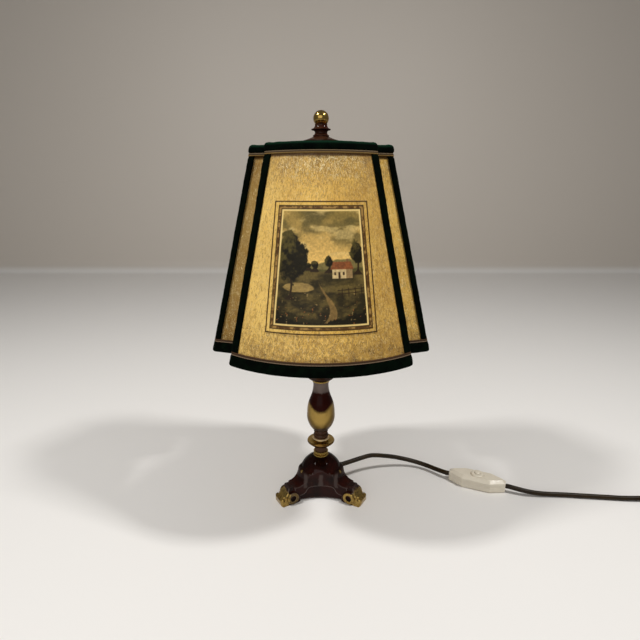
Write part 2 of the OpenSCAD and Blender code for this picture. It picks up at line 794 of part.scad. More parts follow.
// A velvet ribbon folded round the upright edge at outline point i, between the two braids,
// with the widths of its two halves
function edge_ring(i, z, widths) =
    let (c = at(i, z), n0 = side_normal(i + corners - 1, z), n1 = side_normal(i, z), m = mitre(i, z))
    let (d0 = unit(at(i + corners - 1, z) - c), d1 = unit(at(i + 1, z) - c))
    let (w0 = widths[0] * d0, w1 = widths[1] * d1, low = seat_gap, high = seat_gap + velvet_t)
    [for (p = [c + w0 + n0 * high, c + w0 + n0 * low, c + m * low, c + w1 + n1 * low,
        c + w1 + n1 * high, c + m * high]) [p.x, p.y, z]];

module velvet_edges() {
    z0 = braid_low_z + braid_w + seat_gap;
    z1 = braid_high_z - seat_gap;
    wide = [velvet_edge_w, velvet_edge_w];
    color(velvet) {
        for (span = [front_span, back_span], i = span)
            polyhedron(concat(edge_ring(i, z1, wide), edge_ring(i, z0, wide)), skin_faces(2, 6));
        for (span = [right_span, left_span], k = [0, 1])
            let (w = k == 0 ? [velvet_strip_w, velvet_edge_w] : [velvet_edge_w, velvet_strip_w])
                polyhedron(concat(edge_ring(span[k], z1, w), edge_ring(span[k], z0, w)), skin_faces(2, 6));
    }
}

// The frame's two wire rings lie inside the parchment
function wire_section(z, m = 6) =
    let (mid = -parchment_t - seat_gap - frame_d / 2)
    [for (j = [0:m - 1]) [mid + frame_d / 2 * cos(-360 * j / m), z + frame_d / 2 * sin(-360 * j / m)]];

module shade_top_ring() {
    color(steel) wall_sweep(wire_section(wire_high_z), all_round);
}

module shade_bottom_ring() {
    color(steel) wall_sweep(wire_section(wire_low_z), all_round);
}

// Upright wires behind the eight outer edges
module shade_ribs() {
    in = -parchment_t - frame_d - seat_gap;
    z0 = wire_low_z + frame_d / 2 + seat_gap;
    z1 = wire_high_z - frame_d / 2 - seat_gap;
    color(steel)
        for (span = [front_span, right_span, back_span, left_span], i = span)
            rod(wall_point(i, in / 2 - 0.4, z0), wall_point(i, in / 2 - 0.4, z1), frame_d / 2 - 0.2);
}

// Washer and four arms that hang the shade on the stud
module shade_spider() {
    arm_z = hub_z + hub_t / 2 - 0.2;
    reach = -parchment_t - frame_d - 3.6 * seat_gap - velvet_t;
    mids = [for (s = [front_span, right_span, back_span, left_span]) (s[0] + s[1]) / 2];
    color(steel) {
        translate([0, 0, hub_z])
            difference() {
                cylinder(r = hub_r, h = hub_t);
                translate([0, 0, -eps]) cylinder(d = stud_d + 2 * running_gap, h = hub_t + 2 * eps);
            }
        for (i = mids)
            let (way = unit(low_plan[i]) * (hub_r - 1))
                rod([way.x, way.y, arm_z], wall_point(i, reach, wire_high_z), frame_d / 2 - 0.3);
    }
}

// The framed picture on the front panel, a sheet that follows the panel's bow
picture_n = 12;
function bow_y(x, z) =
    let (k = between(1, top_ratio, up_share(z)), half = between(panel_w, panel_top_w, up_share(z)) / 2)
    let (bow = panel_bow * k, r = (half * half + bow * bow) / (2 * bow))
    -(panel_y * k + bow - r + sqrt(r * r - x * x));
function picture_ring(t) =
    let (z0 = shade_bottom + print_low, z1 = z0 + print_h, x0 = print_w_low * t / 2, x1 = print_w_top * t / 2)
    let (y0 = bow_y(x0, z0) - 1.5 * seat_gap, y1 = bow_y(x1, z1) - 1.5 * seat_gap)
    [[x0, y0 - print_t, z0], [x0, y0, z0], [x1, y1, z1], [x1, y1 - print_t, z1]];

module picture_front() {
    color([0.45, 0.36, 0.20])
        polyhedron([for (i = [0:picture_n]) each picture_ring(2 * i / picture_n - 1)],
            skin_faces(picture_n + 1, 4));
}

// Finial

module finial_cap() {
    rim_t = 0.8;
    color(patina)
        translate([0, 0, finial_z])
            difference() {
                rotate_extrude() polygon(concat(
                    [[0, 0], [finial_cap_r, 0], [finial_cap_r, rim_t]],
                    arc([finial_cap_r - 0.3, rim_t + 0.2], [finial_disc_r - 1.8, finial_cap_h], -0.25, 8),
                    [[0, finial_cap_h]]));
                translate([0, 0, -eps]) cylinder(d = stud_d + 2 * running_gap, h = finial_cap_h + 2 * eps);
            }
}

stud_top = stud_z + stud_h;

module finial_collar() {
    disc = finial_collar_h * 0.59;
    color(patina)
        translate([0, 0, finial_collar_z])
            difference() {
                rotate_extrude() polygon(concat(
                    [[0, 0]],
                    arc([finial_disc_r - 1.9, 0], [finial_disc_r - 1.9, 1.4], 0.4, 5),
                    arc([finial_disc_r - 2.2, 1.6], [finial_disc_r - 2.2, disc - 1], -1.1, 8),
                    arc([finial_disc_r - 0.5, disc - 0.7], [finial_disc_r - 0.5, disc + 0.4], 0.5, 6),
                    arc([finial_disc_r - 2, disc + 1], [ball_d * 0.4, finial_collar_h], -0.5, 6),
                    [[0, finial_collar_h]]));
                translate([0, 0, -eps])
                    cylinder(d = stud_d + 2 * running_gap, h = stud_top - finial_collar_z + running_gap);
            }
}

// The ball is flattened where it stands on the collar
module finial_ball() {
    sink = 2.2;
    color(brass)
        translate([0, 0, ball_z])
            intersection() {
                translate([0, 0, ball_d / 2 - sink]) sphere(d = ball_d);
                cylinder(d = 2 * ball_d, h = 2 * ball_d);
            }
}

// Cord, from the base to the switch

switch_mid = [179.5, 7.4];
switch_turn = -23.9;
seam_z = switch_h / 2;
function on_switch(x, y = 0, z = seam_z) =
    [switch_mid.x + x * cos(switch_turn) - y * sin(switch_turn),
     switch_mid.y + x * sin(switch_turn) + y * cos(switch_turn), z];
cord_in = waist_r - cast_wall - 1;
lead_route = concat(
    [for (r = [cord_in, cord_in + 6, bush_end, bush_end + 12]) [0, 0, exit_z] + r * exit_axis],
    [[56, 32, 22.5], [66, 37, 20.5], [76, 41, 17.5], [87, 44, 14.5], [98, 45.5, 11.5],
     [108, 45.5, 9], [118, 43.5, 7], [128, 38.5, 6], [137, 31, 6]],
    [on_switch(-switch_l / 2 - cord_d), on_switch(-switch_l / 2 - bore_gap)]);

module cord_lead() {
    color(cord_colour) tube_along(lead_route, cord_d / 2, 10);
}

module cord_bush() {
    color(cord_colour)
        translate([0, 0, exit_z])
            rotate([0, 90, exit_angle])
                difference() {
                    rotate_extrude() polygon([
                        [0, waist_r - cast_wall], [bush_r, waist_r - cast_wall], [bush_r, flange_start],
                        [bush_flange_r, flange_start], [bush_flange_r, flange_start + bush_flange_t],
                        [nose_tip_r + 0.6, flange_start + bush_flange_t], [nose_tip_r, bush_end], [0, bush_end]]);
                    cylinder(d = cord_d + 2 * bore_gap, h = bush_end + 1);
                }
}

// Two cores run from the cord's inner end, under the tube's lower end and up through it
core_r = 1;
core_turn_z = nut_z - tube_out - 2 * core_r - bore_gap;
core_low_z = min(exit_z + 0.8, core_turn_z - bore_gap);
function core_route(s) = [
    [0, 0, exit_z] + (cord_in - bore_gap) * exit_axis + [-s * 1.2 * exit_axis.y, s * 1.2 * exit_axis.x, 0],
    [-s * 1.3 * exit_axis.y, s * 1.3 * exit_axis.x, core_low_z] + 9 * exit_axis,
    [-s * 1.4 * exit_axis.y, s * 1.4 * exit_axis.x, core_turn_z] + 2.4 * exit_axis,
    [-s * 1.5 * exit_axis.y, s * 1.5 * exit_axis.x, nut_z] + 0.6 * exit_axis,
    [-s * 1.5 * exit_axis.y, s * 1.5 * exit_axis.x, base_h],
    [-s * 1.5 * exit_axis.y, s * 1.5 * exit_axis.x, cup_z],
    [-s * 1.5 * exit_axis.y, s * 1.5 * exit_axis.x, barrel_z + barrel_floor]];

module inner_wires() {
    color(steel)
        for (s = [-1, 1]) tube_along(core_route(s), core_r, 8, [0, 1, 0.2]);
}

// Inline switch

tip_half = cord_d / 2 + 1;
flat_half = switch_l / 4;
bezel_seat = switch_h - 0.8;
button_top = switch_h + bezel_h + 1.4;
button_foot_r = button_r + 1.4;
pocket_floor = switch_wall;
pocket_roof = bezel_seat - switch_wall;
button_foot_z = pocket_roof - running_gap;

// Plan of the switch, drawn in by "inset"
function switch_plan(inset) = [for (sx = [1, -1], k = [0:3])
    let (p = [[flat_half, -1], [switch_l / 2, -0.31], [switch_l / 2, 0.31], [flat_half, 1]][k])
    let (half = abs(p.y) == 1 ? switch_w / 2 - inset : tip_half - inset * 0.6)
    sx * [p.x - (p.x > flat_half ? inset : inset * 0.4), sign(p.y) * half]];

module place_switch() {
    translate([switch_mid.x, switch_mid.y, 0]) rotate(switch_turn) children();
}

screw_spots = [[flat_half + 2, 0], [-flat_half - 2, 0]];
screw_r = 1.5;

module switch_lower_shell() {
    color(ivory)
        place_switch()
            difference() {
                hull() {
                    linear_extrude(eps) polygon(switch_plan(1.2));
                    translate([0, 0, 1.2]) linear_extrude(seam_z - 1.2) polygon(switch_plan(0));
                }
                translate([0, 0, pocket_floor])
                    linear_extrude(switch_h) square([2 * flat_half - 4, switch_w - 2 * switch_wall - 2], center = true);
                for (p = screw_spots) translate([p.x, p.y, -eps]) cylinder(r = 2 * screw_r, h = 2);
                for (p = screw_spots) translate([p.x, p.y, -eps]) cylinder(r = screw_r + bore_gap, h = seam_z + 1);
            }
    color(ivory) place_switch() translate([0, 0, pocket_floor - eps]) cylinder(r = 1.4, h = 2);
}

module switch_upper_shell() {
    color(ivory)
        place_switch()
            difference() {
                hull() {
                    translate([0, 0, seam_z]) linear_extrude(switch_h - seam_z - 3) polygon(switch_plan(0));
                    translate([0, 0, switch_h - eps]) linear_extrude(eps) polygon(switch_plan(4));
                }
                translate([0, 0, seam_z - eps])
                    linear_extrude(pocket_roof - seam_z + eps)
                        square([2 * flat_half - 6, switch_w - 2 * switch_wall - 4], center = true);
                translate([0, 0, bezel_seat]) cylinder(r = bezel_r + bore_gap, h = switch_h);
                translate([0, 0, seam_z]) cylinder(r = button_r + running_gap, h = switch_h);
                for (p = screw_spots) translate([p.x, p.y, seam_z - eps]) cylinder(r = screw_r + bore_gap, h = 3);
            }
}

module switch_bezel() {
    color(ivory)
        place_switch()
            translate([0, 0, bezel_seat])
                difference() {
                    rotate_extrude() polygon(concat(
                        [[0, 0], [bezel_r, 0]],
                        arc([bezel_r, 0.8], [button_r + 1.4, bezel_h + 0.8], 0.7, 8),
                        [[0, bezel_h + 0.8]]));
                    translate([0, 0, -eps]) cylinder(r = button_r + running_gap, h = bezel_h + 2);
                }
}

module switch_button() {
    color(ivory)
        place_switch()
            rotate_extrude() polygon(concat(
                [[0, button_foot_z - 1.2], [button_foot_r, button_foot_z - 1.2], [button_foot_r, button_foot_z],
                 [button_r, button_foot_z]],
                arc([button_r, button_top - 0.9], [0, button_top], 0.5, 6)));
}

// The return spring, drawn as long as it is with the button pressed home
spring_r = 2.1;
spring_wire = 0.35;
spring_turns = 4;
spring_low = pocket_floor + spring_wire + 0.05;
spring_high = button_foot_z - 1.2 - button_travel - running_gap - spring_wire;
spring_steps = 8;
spring_path = [for (i = [0:spring_turns * spring_steps])
    let (t = i / (spring_turns * spring_steps), a = 360 * i / spring_steps)
    [spring_r * cos(a), spring_r * sin(a), spring_low + (spring_high - spring_low) * t]];

module button_spring() {
    color(steel) place_switch() tube_along(spring_path, spring_wire, 6);
}

module switch_screws() {
    color(steel)
        place_switch()
            for (p = screw_spots)
                translate([p.x, p.y, 0.4]) {
                    cylinder(r = 2 * screw_r - bore_gap, h = 1.4);
                    cylinder(r = screw_r, h = seam_z + 1.6);
                }
}

// Cord, from the switch to the coil

tie_floor = tie_t + 0.4;
coil_c = [392, -66];
coil_low = cord_d / 2 + tie_floor;
coil_high = coil_low + coil_rise;
coil_inner = coil_r - coil_step * layer_turns;
cord_rest = cord_d / 2 + 0.1;
run_route = concat(
    [on_switch(switch_l / 2 + bore_gap), on_switch(switch_l / 2 + cord_d)],
    [[227, -12.5, 5.5], [241, -14, 3.6], [255, -14.5, cord_rest], [270, -15.5, cord_rest],
     [285, -17, cord_rest], [300, -18.5, cord_rest], [315, -20, cord_rest], [330, -21.5, cord_rest],
     [345, -22.5, 3.2], [360, -23, 3.8], [373, coil_c.y + coil_r, coil_low]],
    [[coil_c.x - cord_d, coil_c.y + coil_r, coil_low]]);

module cord_run() {
    color(cord_colour) tube_along(run_route, cord_d / 2, 10);
}

// The coil winds in on the lower layer, climbs in half a turn, and winds out on the upper one
loop_rings = 24;
climb_turns = 0.5;
coil_turns = 2 * layer_turns + climb_turns;
function eased(t) = t * t * (3 - 2 * t);
function coil_point(turn) =
    let (back = max(0, turn - layer_turns - climb_turns), on_climb = min(1, max(0, (turn - layer_turns) / climb_turns)))
    let (r = coil_r - coil_step * min(turn, layer_turns) + coil_step * back, a = 90 - 360 * turn)
    [coil_c.x + r * cos(a), coil_c.y + r * sin(a), coil_low + coil_rise * eased(on_climb)];
coil_body = [for (i = [0:coil_turns * loop_rings]) coil_point(i / loop_rings)];
coil_end = coil_body[len(coil_body) - 1];
coil_path = concat([coil_body[0] - [cord_d, 0, 0]], coil_body, [coil_end - [0, cord_d, 0]]);

// Least gap between stretches of the coil more than a quarter turn apart
coil_gap = min([for (i = [0:len(coil_path) - 1], j = [i + loop_rings / 4:len(coil_path) - 1])
    norm(coil_path[i] - coil_path[j])]) - cord_d;
echo(coil_gap = coil_gap);

module cord_coil() {
    color(cord_colour) tube_along(coil_path, cord_d / 2, 6);
}

// A band round all the turns at one side of the coil
module coil_tie() {
    room = 0.5;
    r0 = coil_inner - cord_d / 2 - room;
    r1 = coil_r + cord_d / 2 + room;
    h = coil_high + cord_d / 2 + room;
    color([0.15, 0.12, 0.08])
        translate([coil_c.x, coil_c.y, 0])
            rotate(225)
                difference() {
                    translate([r0 - tie_t, -tie_w / 2, 0]) cube([r1 - r0 + 2 * tie_t, tie_w, h + tie_t]);
                    translate([r0, -tie_w, tie_t]) cube([r1 - r0, 2 * tie_w, h - tie_t]);
                }
}

// Cord, from the coil to the plug, which lies beside it

plug_z = plug_t / 2 + 0.1;
plug_y = -136;
relief_x = 402;
tail_route = concat(
    [coil_end - [0, cord_d, 0], coil_end - [0, 2 * cord_d, 0]],
    [[434.5, -90, 9.5], [432, -102, 8.5], [428, -113, 7.8], [421.5, -124, 7.2], [412.5, -132, plug_z]],
    [[relief_x + cord_d, plug_y, plug_z], [relief_x, plug_y, plug_z]]);

module cord_tail() {
    color(cord_colour) tube_along(tail_route, cord_d / 2, 10);
}

module place_plug() {
    translate([relief_x - bore_gap, plug_y, plug_z]) rotate([0, -90, 0]) children();
}

relief_r = 4.8;

module plug_relief() {
    color(cord_colour)
        place_plug()
            cylinder(r1 = cord_d / 2 + 0.5, r2 = relief_r, h = relief_l);
}

// The plug's body: slim at the cord, waisted by a grip, widest at its face
module plug_body() {
    color(cord_colour)
        place_plug()
            translate([0, 0, relief_l])
                intersection() {
                    rotate([90, 0, 90])
                        translate([0, 0, -plug_t / 2])
                            linear_extrude(plug_t) polygon(concat(
                                arc([plug_w * 0.26, 0], [plug_w / 2, plug_l * 0.62], -2, 8),
                                [[plug_w / 2, plug_l], [-plug_w / 2, plug_l]],
                                arc([-plug_w / 2, plug_l * 0.62], [-plug_w * 0.26, 0], -2, 8)));
                    union() {
                        cube([plug_t, plug_w - plug_t, 3 * plug_l], center = true);
                        for (s = [-1, 1])
                            translate([0, s * (plug_w - plug_t) / 2, -eps]) cylinder(d = plug_t, h = 2 * plug_l);
                    }
                }
}

module plug_pins() {
    color(brass)
        place_plug()
            for (s = [-1, 1])
                translate([0, s * pin_pitch / 2, relief_l + plug_l]) {
                    cylinder(d = pin_d, h = pin_l - pin_d / 2);
                    translate([0, 0, pin_l - pin_d / 2]) sphere(d = pin_d);
                }
}

base_casting();
base_washer();
base_nut();
threaded_tube();
ring_collar();
neck_spindle();
saucer_disc();
bead_rings();
baluster();
gallery_ring();
flared_cup();
harp_saddle();
holder_cap();
holder_barrel();
holder_contact();
bulb_cap();
bulb_glass();
harp_ferrules();
harp_bail();
harp_stud();
shade_spider();
shade_top_ring();
shade_bottom_ring();
shade_ribs();
panel_front();
panel_right();
panel_back();
panel_left();
corner_front_right();
corner_back_right();
corner_back_left();
corner_front_left();
velvet_top();
velvet_bottom();
velvet_edges();
braid_top();
braid_bottom();
picture_front();
finial_cap();
finial_collar();
finial_ball();
cord_bush();
inner_wires();
cord_lead();
switch_lower_shell();
switch_upper_shell();
switch_bezel();
switch_button();
button_spring();
switch_screws();
cord_run();
cord_coil();
coil_tie();
cord_tail();
plug_relief();
plug_body();
plug_pins();
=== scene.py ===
"""Looks of the table lamp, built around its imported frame. Metres, +Z up, the front is -Y."""

import math

import bmesh
import bpy
import numpy as np
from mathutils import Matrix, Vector, noise


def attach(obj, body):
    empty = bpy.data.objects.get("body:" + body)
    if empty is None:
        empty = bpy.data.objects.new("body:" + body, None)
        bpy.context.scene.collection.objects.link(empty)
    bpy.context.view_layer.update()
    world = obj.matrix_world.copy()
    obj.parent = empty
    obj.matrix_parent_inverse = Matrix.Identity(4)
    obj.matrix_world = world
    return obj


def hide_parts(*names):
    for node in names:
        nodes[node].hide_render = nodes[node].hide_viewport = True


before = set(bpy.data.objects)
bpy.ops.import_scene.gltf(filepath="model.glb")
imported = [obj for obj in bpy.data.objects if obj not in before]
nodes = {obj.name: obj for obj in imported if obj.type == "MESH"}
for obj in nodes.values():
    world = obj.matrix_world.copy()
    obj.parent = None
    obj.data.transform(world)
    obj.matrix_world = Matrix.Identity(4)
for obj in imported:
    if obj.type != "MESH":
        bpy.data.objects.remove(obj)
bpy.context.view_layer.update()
MM = 0.001


# The shade's plan and heights, as in part.scad, in millimetres

SHADE_TOP = 367.9
SHADE_H = 193
SHADE_BOTTOM = SHADE_TOP - SHADE_H
SHADE_MIDDLE = SHADE_BOTTOM + SHADE_H / 2
TOP_RATIO = 0.595
PANEL_HALF = 82
PANEL_TOP_HALF = 46
PANEL_Y = 71
PANEL_BOW = 30.5
SIDE_X = 105
SIDE_HALF = 31
SIDE_BOW = 3
NOTCH_IN = 2.5
NOTCH_Y = 39
PARCHMENT_T = 1.0
SEAT_GAP = 0.12
FRAME_D = 2.4
VELVET_T = 1.3
VELVET_BOTTOM_H = 10.5
VELVET_TOP_H = 7
VELVET_EDGE_W = 7
VELVET_STRIP_W = 4.5
BRAID_W = 2.6
BRAID_T = 1.5
BRAID_LOW = SHADE_BOTTOM + VELVET_BOTTOM_H + SEAT_GAP
BRAID_HIGH = SHADE_TOP - VELVET_TOP_H - SEAT_GAP - BRAID_W
FRONT_N = 32
SIDE_N = 12


# Camera, fitted to the photograph: focal length in pixels of a square image, place and tilt

IMAGE_PX = 640
FOCAL_PX = 481
CAMERA_AT = (-0.001, -0.4798, 0.3279)
CAMERA_TILT = math.radians(15.04)


def add_camera():
    data = bpy.data.cameras.new("camera")
    data.sensor_width = 36.0
    data.lens = FOCAL_PX * data.sensor_width / IMAGE_PX
    data.clip_start = 0.01
    camera = bpy.data.objects.new("camera", data)
    camera.location = CAMERA_AT
    camera.rotation_euler = (math.pi / 2 - CAMERA_TILT, 0, 0)
    bpy.context.scene.collection.objects.link(camera)
    bpy.context.scene.camera = camera


add_camera()


# Materials

def linear(colour):
    """0-255 sRGB, one colour or an array of them, as linear 0-1."""
    c = np.asarray(colour, float) / 255
    return np.where(c > 0.04, ((c + 0.055) / 1.055) ** 2.4, c / 12.92)


def srgb(r, g, b):
    return (*(float(c) for c in linear((r, g, b))), 1.0)


class Shader:
    """A node material round one Principled shader. Texture sizes are in millimetres."""

    def __init__(self, name, **sockets):
        self.material = bpy.data.materials.new(name)
        self.material.use_nodes = True
        self.tree = self.material.node_tree
        self.bsdf = self.tree.nodes["Principled BSDF"]
        self.position = self.node("ShaderNodeTexCoord").outputs["Object"]
        for socket, value in sockets.items():
            self.set(socket.replace("_", " "), value)

    def node(self, kind, **settings):
        made = self.tree.nodes.new(kind)
        for key, value in settings.items():
            setattr(made, key, value)
        return made

    def feed(self, socket, value):
        """Links an output to a socket, or sets a plain value on it."""
        if isinstance(value, bpy.types.NodeSocket):
            self.tree.links.new(value, socket)
        else:
            socket.default_value = value

    def set(self, socket, value):
        self.feed(self.bsdf.inputs[socket], value)

    def done(self, colour, roughness, normal):
        """Sets what every material of the lamp has, and returns the material."""
        self.set("Base Color", colour)
        self.set("Roughness", roughness)
        self.set("Normal", normal)
        return self.material

    def stretched(self, sx, sy, sz):
        """Object position stretched along each axis, for grain that runs one way."""
        mapping = self.node("ShaderNodeMapping")
        self.feed(mapping.inputs["Vector"], self.position)
        mapping.inputs["Scale"].default_value = (sx, sy, sz)
        return mapping.outputs["Vector"]

    def noise(self, size, detail=3.0, roughness=0.55, vector=None, distortion=0.0):
        texture = self.node("ShaderNodeTexNoise")
        self.feed(texture.inputs["Vector"], vector or self.position)
        for key, v in (("Scale", 1 / (size * MM)), ("Detail", detail),
                       ("Roughness", roughness), ("Distortion", distortion)):
            texture.inputs[key].default_value = v
        return texture.outputs["Fac"]

    def fanned(self, stretch):
        """Object position with lines that fan out downwards, true to size at the shade's middle."""
        x, y, z = (self.axis(name) for name in "XYZ")
        widen = self.math("DIVIDE", FAN_APEX - SHADE_MIDDLE * MM, self.minus(FAN_APEX, z))
        made = self.node("ShaderNodeCombineXYZ")
        fan = (self.times(x, widen), self.times(y, widen), self.times(z, stretch))
        for socket, value in zip(made.inputs, fan):
            self.feed(socket, value)
        return made.outputs[0]

    def cracks(self, size, vector=None):
        texture = self.node("ShaderNodeTexVoronoi", feature="DISTANCE_TO_EDGE")
        self.feed(texture.inputs["Vector"], vector or self.position)
        texture.inputs["Scale"].default_value = 1 / (size * MM)
        return texture.outputs["Distance"]

    def axis(self, name):
        split = self.node("ShaderNodeSeparateXYZ")
        self.feed(split.inputs[0], self.position)
        return split.outputs[name]

    def attribute(self, name, output="Fac"):
        return self.node("ShaderNodeAttribute", attribute_name=name).outputs[output]

    def math(self, operation, a, b=0.0):
        made = self.node("ShaderNodeMath", operation=operation)
        self.feed(made.inputs[0], a)
        self.feed(made.inputs[1], b)
        return made.outputs[0]

    def fold(self, operation, values):
        """One operation over two or more values, from the left."""
        result = values[0]
        for value in values[1:]:
            result = self.math(operation, result, value)
        return result

    def times(self, *values):
        return self.fold("MULTIPLY", values)

    def plus(self, *values):
        return self.fold("ADD", values)

    def most(self, *values):
        return self.fold("MAXIMUM", values)

    def minus(self, a, b):
        return self.math("SUBTRACT", a, b)

    def absolute(self, value):
        return self.math("ABSOLUTE", value)

    def distance(self, *offsets):
        return self.math("SQRT", self.plus(*(self.times(offset, offset) for offset in offsets)))

    def wander(self, value, size, reach):
        """A value moved by up to about reach either way by noise, for edges that aren't straight."""
        return self.plus(value, self.times(self.minus(self.noise(size, 4), 0.5), 2 * reach))

    def remap(self, value, low, high, to_low=0.0, to_high=1.0):
        made = self.node("ShaderNodeMapRange", interpolation_type="SMOOTHSTEP")
        for key, v in (("Value", value), ("From Min", low), ("From Max", high),
                       ("To Min", to_low), ("To Max", to_high)):
            self.feed(made.inputs[key], v)
        return made.outputs[0]

    def mottled(self, size, low=0.0, high=1.0, detail=4):
        """Soft patches of the given size, from low to high."""
        return self.remap(self.noise(size, detail), 0.3, 0.7, low, high)

    def mix(self, factor, a, b):
        made = self.node("ShaderNodeMix", data_type="RGBA")
        self.feed(made.inputs["Factor"], factor)
        self.feed(made.inputs[6], a)
        self.feed(made.inputs[7], b)
        return made.outputs[2]

    def bump(self, height, depth, strength=1.0):
        """A bump of the given depth in millimetres; returns its normal."""
        made = self.node("ShaderNodeBump")
        made.inputs["Strength"].default_value = strength
        made.inputs["Distance"].default_value = depth * MM
        self.feed(made.inputs["Height"], height)
        return made.outputs["Normal"]


BRASS = srgb(168, 139, 74)
BRASS_DULL = srgb(100, 78, 36)
# Painted reflections on brass, brown on the lower part and pale on the top
BRASS_BROWN_REFLECTION = srgb(90, 62, 32)
BRASS_PALE_REFLECTION = srgb(252, 230, 184)
LACQUER = srgb(22, 7, 4)
LACQUER_WARM = srgb(44, 13, 7)
# Grey of a painted reflection in the lacquer
LACQUER_REFLECTION = srgb(104, 92, 87)
BRONZE = srgb(120, 88, 60)
PAPER_GOLD = srgb(238, 194, 96)
PAPER_TAN = srgb(214, 168, 76)
PAPER_STAIN = srgb(168, 126, 54)
# Painted shade on the recessed strips and to the right of the panels, and painted light to their left
PAPER_STRIP_SHADE = srgb(128, 99, 54)
PAPER_RIGHT_SHADE = srgb(138, 108, 60)
PAPER_LEFT_LIGHT = srgb(252, 218, 132)
PAPER_GRAIN = srgb(140, 100, 40)
PAPER_HAIR = srgb(76, 50, 18)
# Painted highlight on the parchment
PAPER_GLINT = srgb(255, 238, 184)
# Painted shadow under the upper braid
PAPER_BRAID_SHADOW = srgb(74, 44, 12)

# Heights in metres: where the lines of the parchment's grain meet, and one that no piece reaches
FAN_APEX = 0.5
NEVER = 10.0


def brass_shader(name, tarnish, brown_reflection_to=0.0, matt_pale_from=NEVER):
    """Polished brass with fine turning marks and brown tarnish in patches.

    Below one height it has a painted brown reflection, and above another it is matt with a painted pale
    reflection."""
    s = Shader(name, Metallic=1.0)
    patches = s.remap(s.noise(9, 5, 0.6), 0.66 - 0.24 * tarnish, 0.86 - 0.1 * tarnish)
    specks = s.remap(s.noise(0.9, 3), 0.6, 0.75)
    colour = s.mix(s.most(patches, s.times(specks, 0.35)), BRASS, BRASS_DULL)
    # Painted brown reflection below one height, and painted pale reflection on the matt part above another
    colour = s.mix(s.remap(s.axis("Z"), brown_reflection_to + 0.0004, brown_reflection_to - 0.0004), colour, BRASS_BROWN_REFLECTION)
    matt_pale_top = s.remap(s.axis("Z"), matt_pale_from - 0.0002, matt_pale_from + 0.0002)
    rough = s.most(s.mottled(3, 0.14, 0.14 + 0.2 * tarnish), s.times(matt_pale_top, 0.6))
    lines = s.noise(0.25, 2, vector=s.stretched(0.04, 0.04, 1.0))
    return s.done(s.mix(matt_pale_top, colour, BRASS_PALE_REFLECTION), rough, s.bump(lines, 0.02, 0.3))


def lacquer_shader(name, sheen_and_thin, tint, worn=None):
    """Dark brown lacquer over brass, glossy and a little uneven.

    The second argument says where tint is laid over it, as painted highlights and reflections and, on the
    turned parts, thin lacquer as well; worn(s) says where it is rubbed off."""
    s = Shader(name, Coat_Weight=0.25, Coat_Roughness=0.06, Specular_IOR_Level=0.0)
    cloud = s.remap(s.noise(16, 4), 0.35, 0.7)
    colour = s.mix(cloud, LACQUER, LACQUER_WARM)
    # Tint laid on as painted highlights and reflections, and as thin lacquer
    colour = s.mix(sheen_and_thin(s), colour, tint)
    if worn:
        mask = worn(s)
        grime = s.remap(s.noise(2.6, 5, 0.65), 0.42, 0.72)
        colour = s.mix(mask, colour, s.mix(grime, BRASS, BRASS_DULL))
        s.set("Metallic", mask)
    return s.done(colour, s.mottled(6, 0.22, 0.36), s.bump(s.noise(7, 3), 0.1, 0.35))


def plain_shader(name, colour, roughness, mottle=0.12, metallic=0.0, grain=0.6, depth=0.02):
    """Moulded plastic or plain metal: a base colour with slight mottling and a fine grain."""
    s = Shader(name, Metallic=metallic)
    dark = tuple(c * (1 - mottle) for c in colour[:3]) + (1.0,)
    rough = s.mottled(4, roughness * 0.85, roughness * 1.15, detail=3)
    return s.done(s.mix(s.mottled(11), colour, dark), rough, s.bump(s.noise(grain, 3), depth, 0.5))


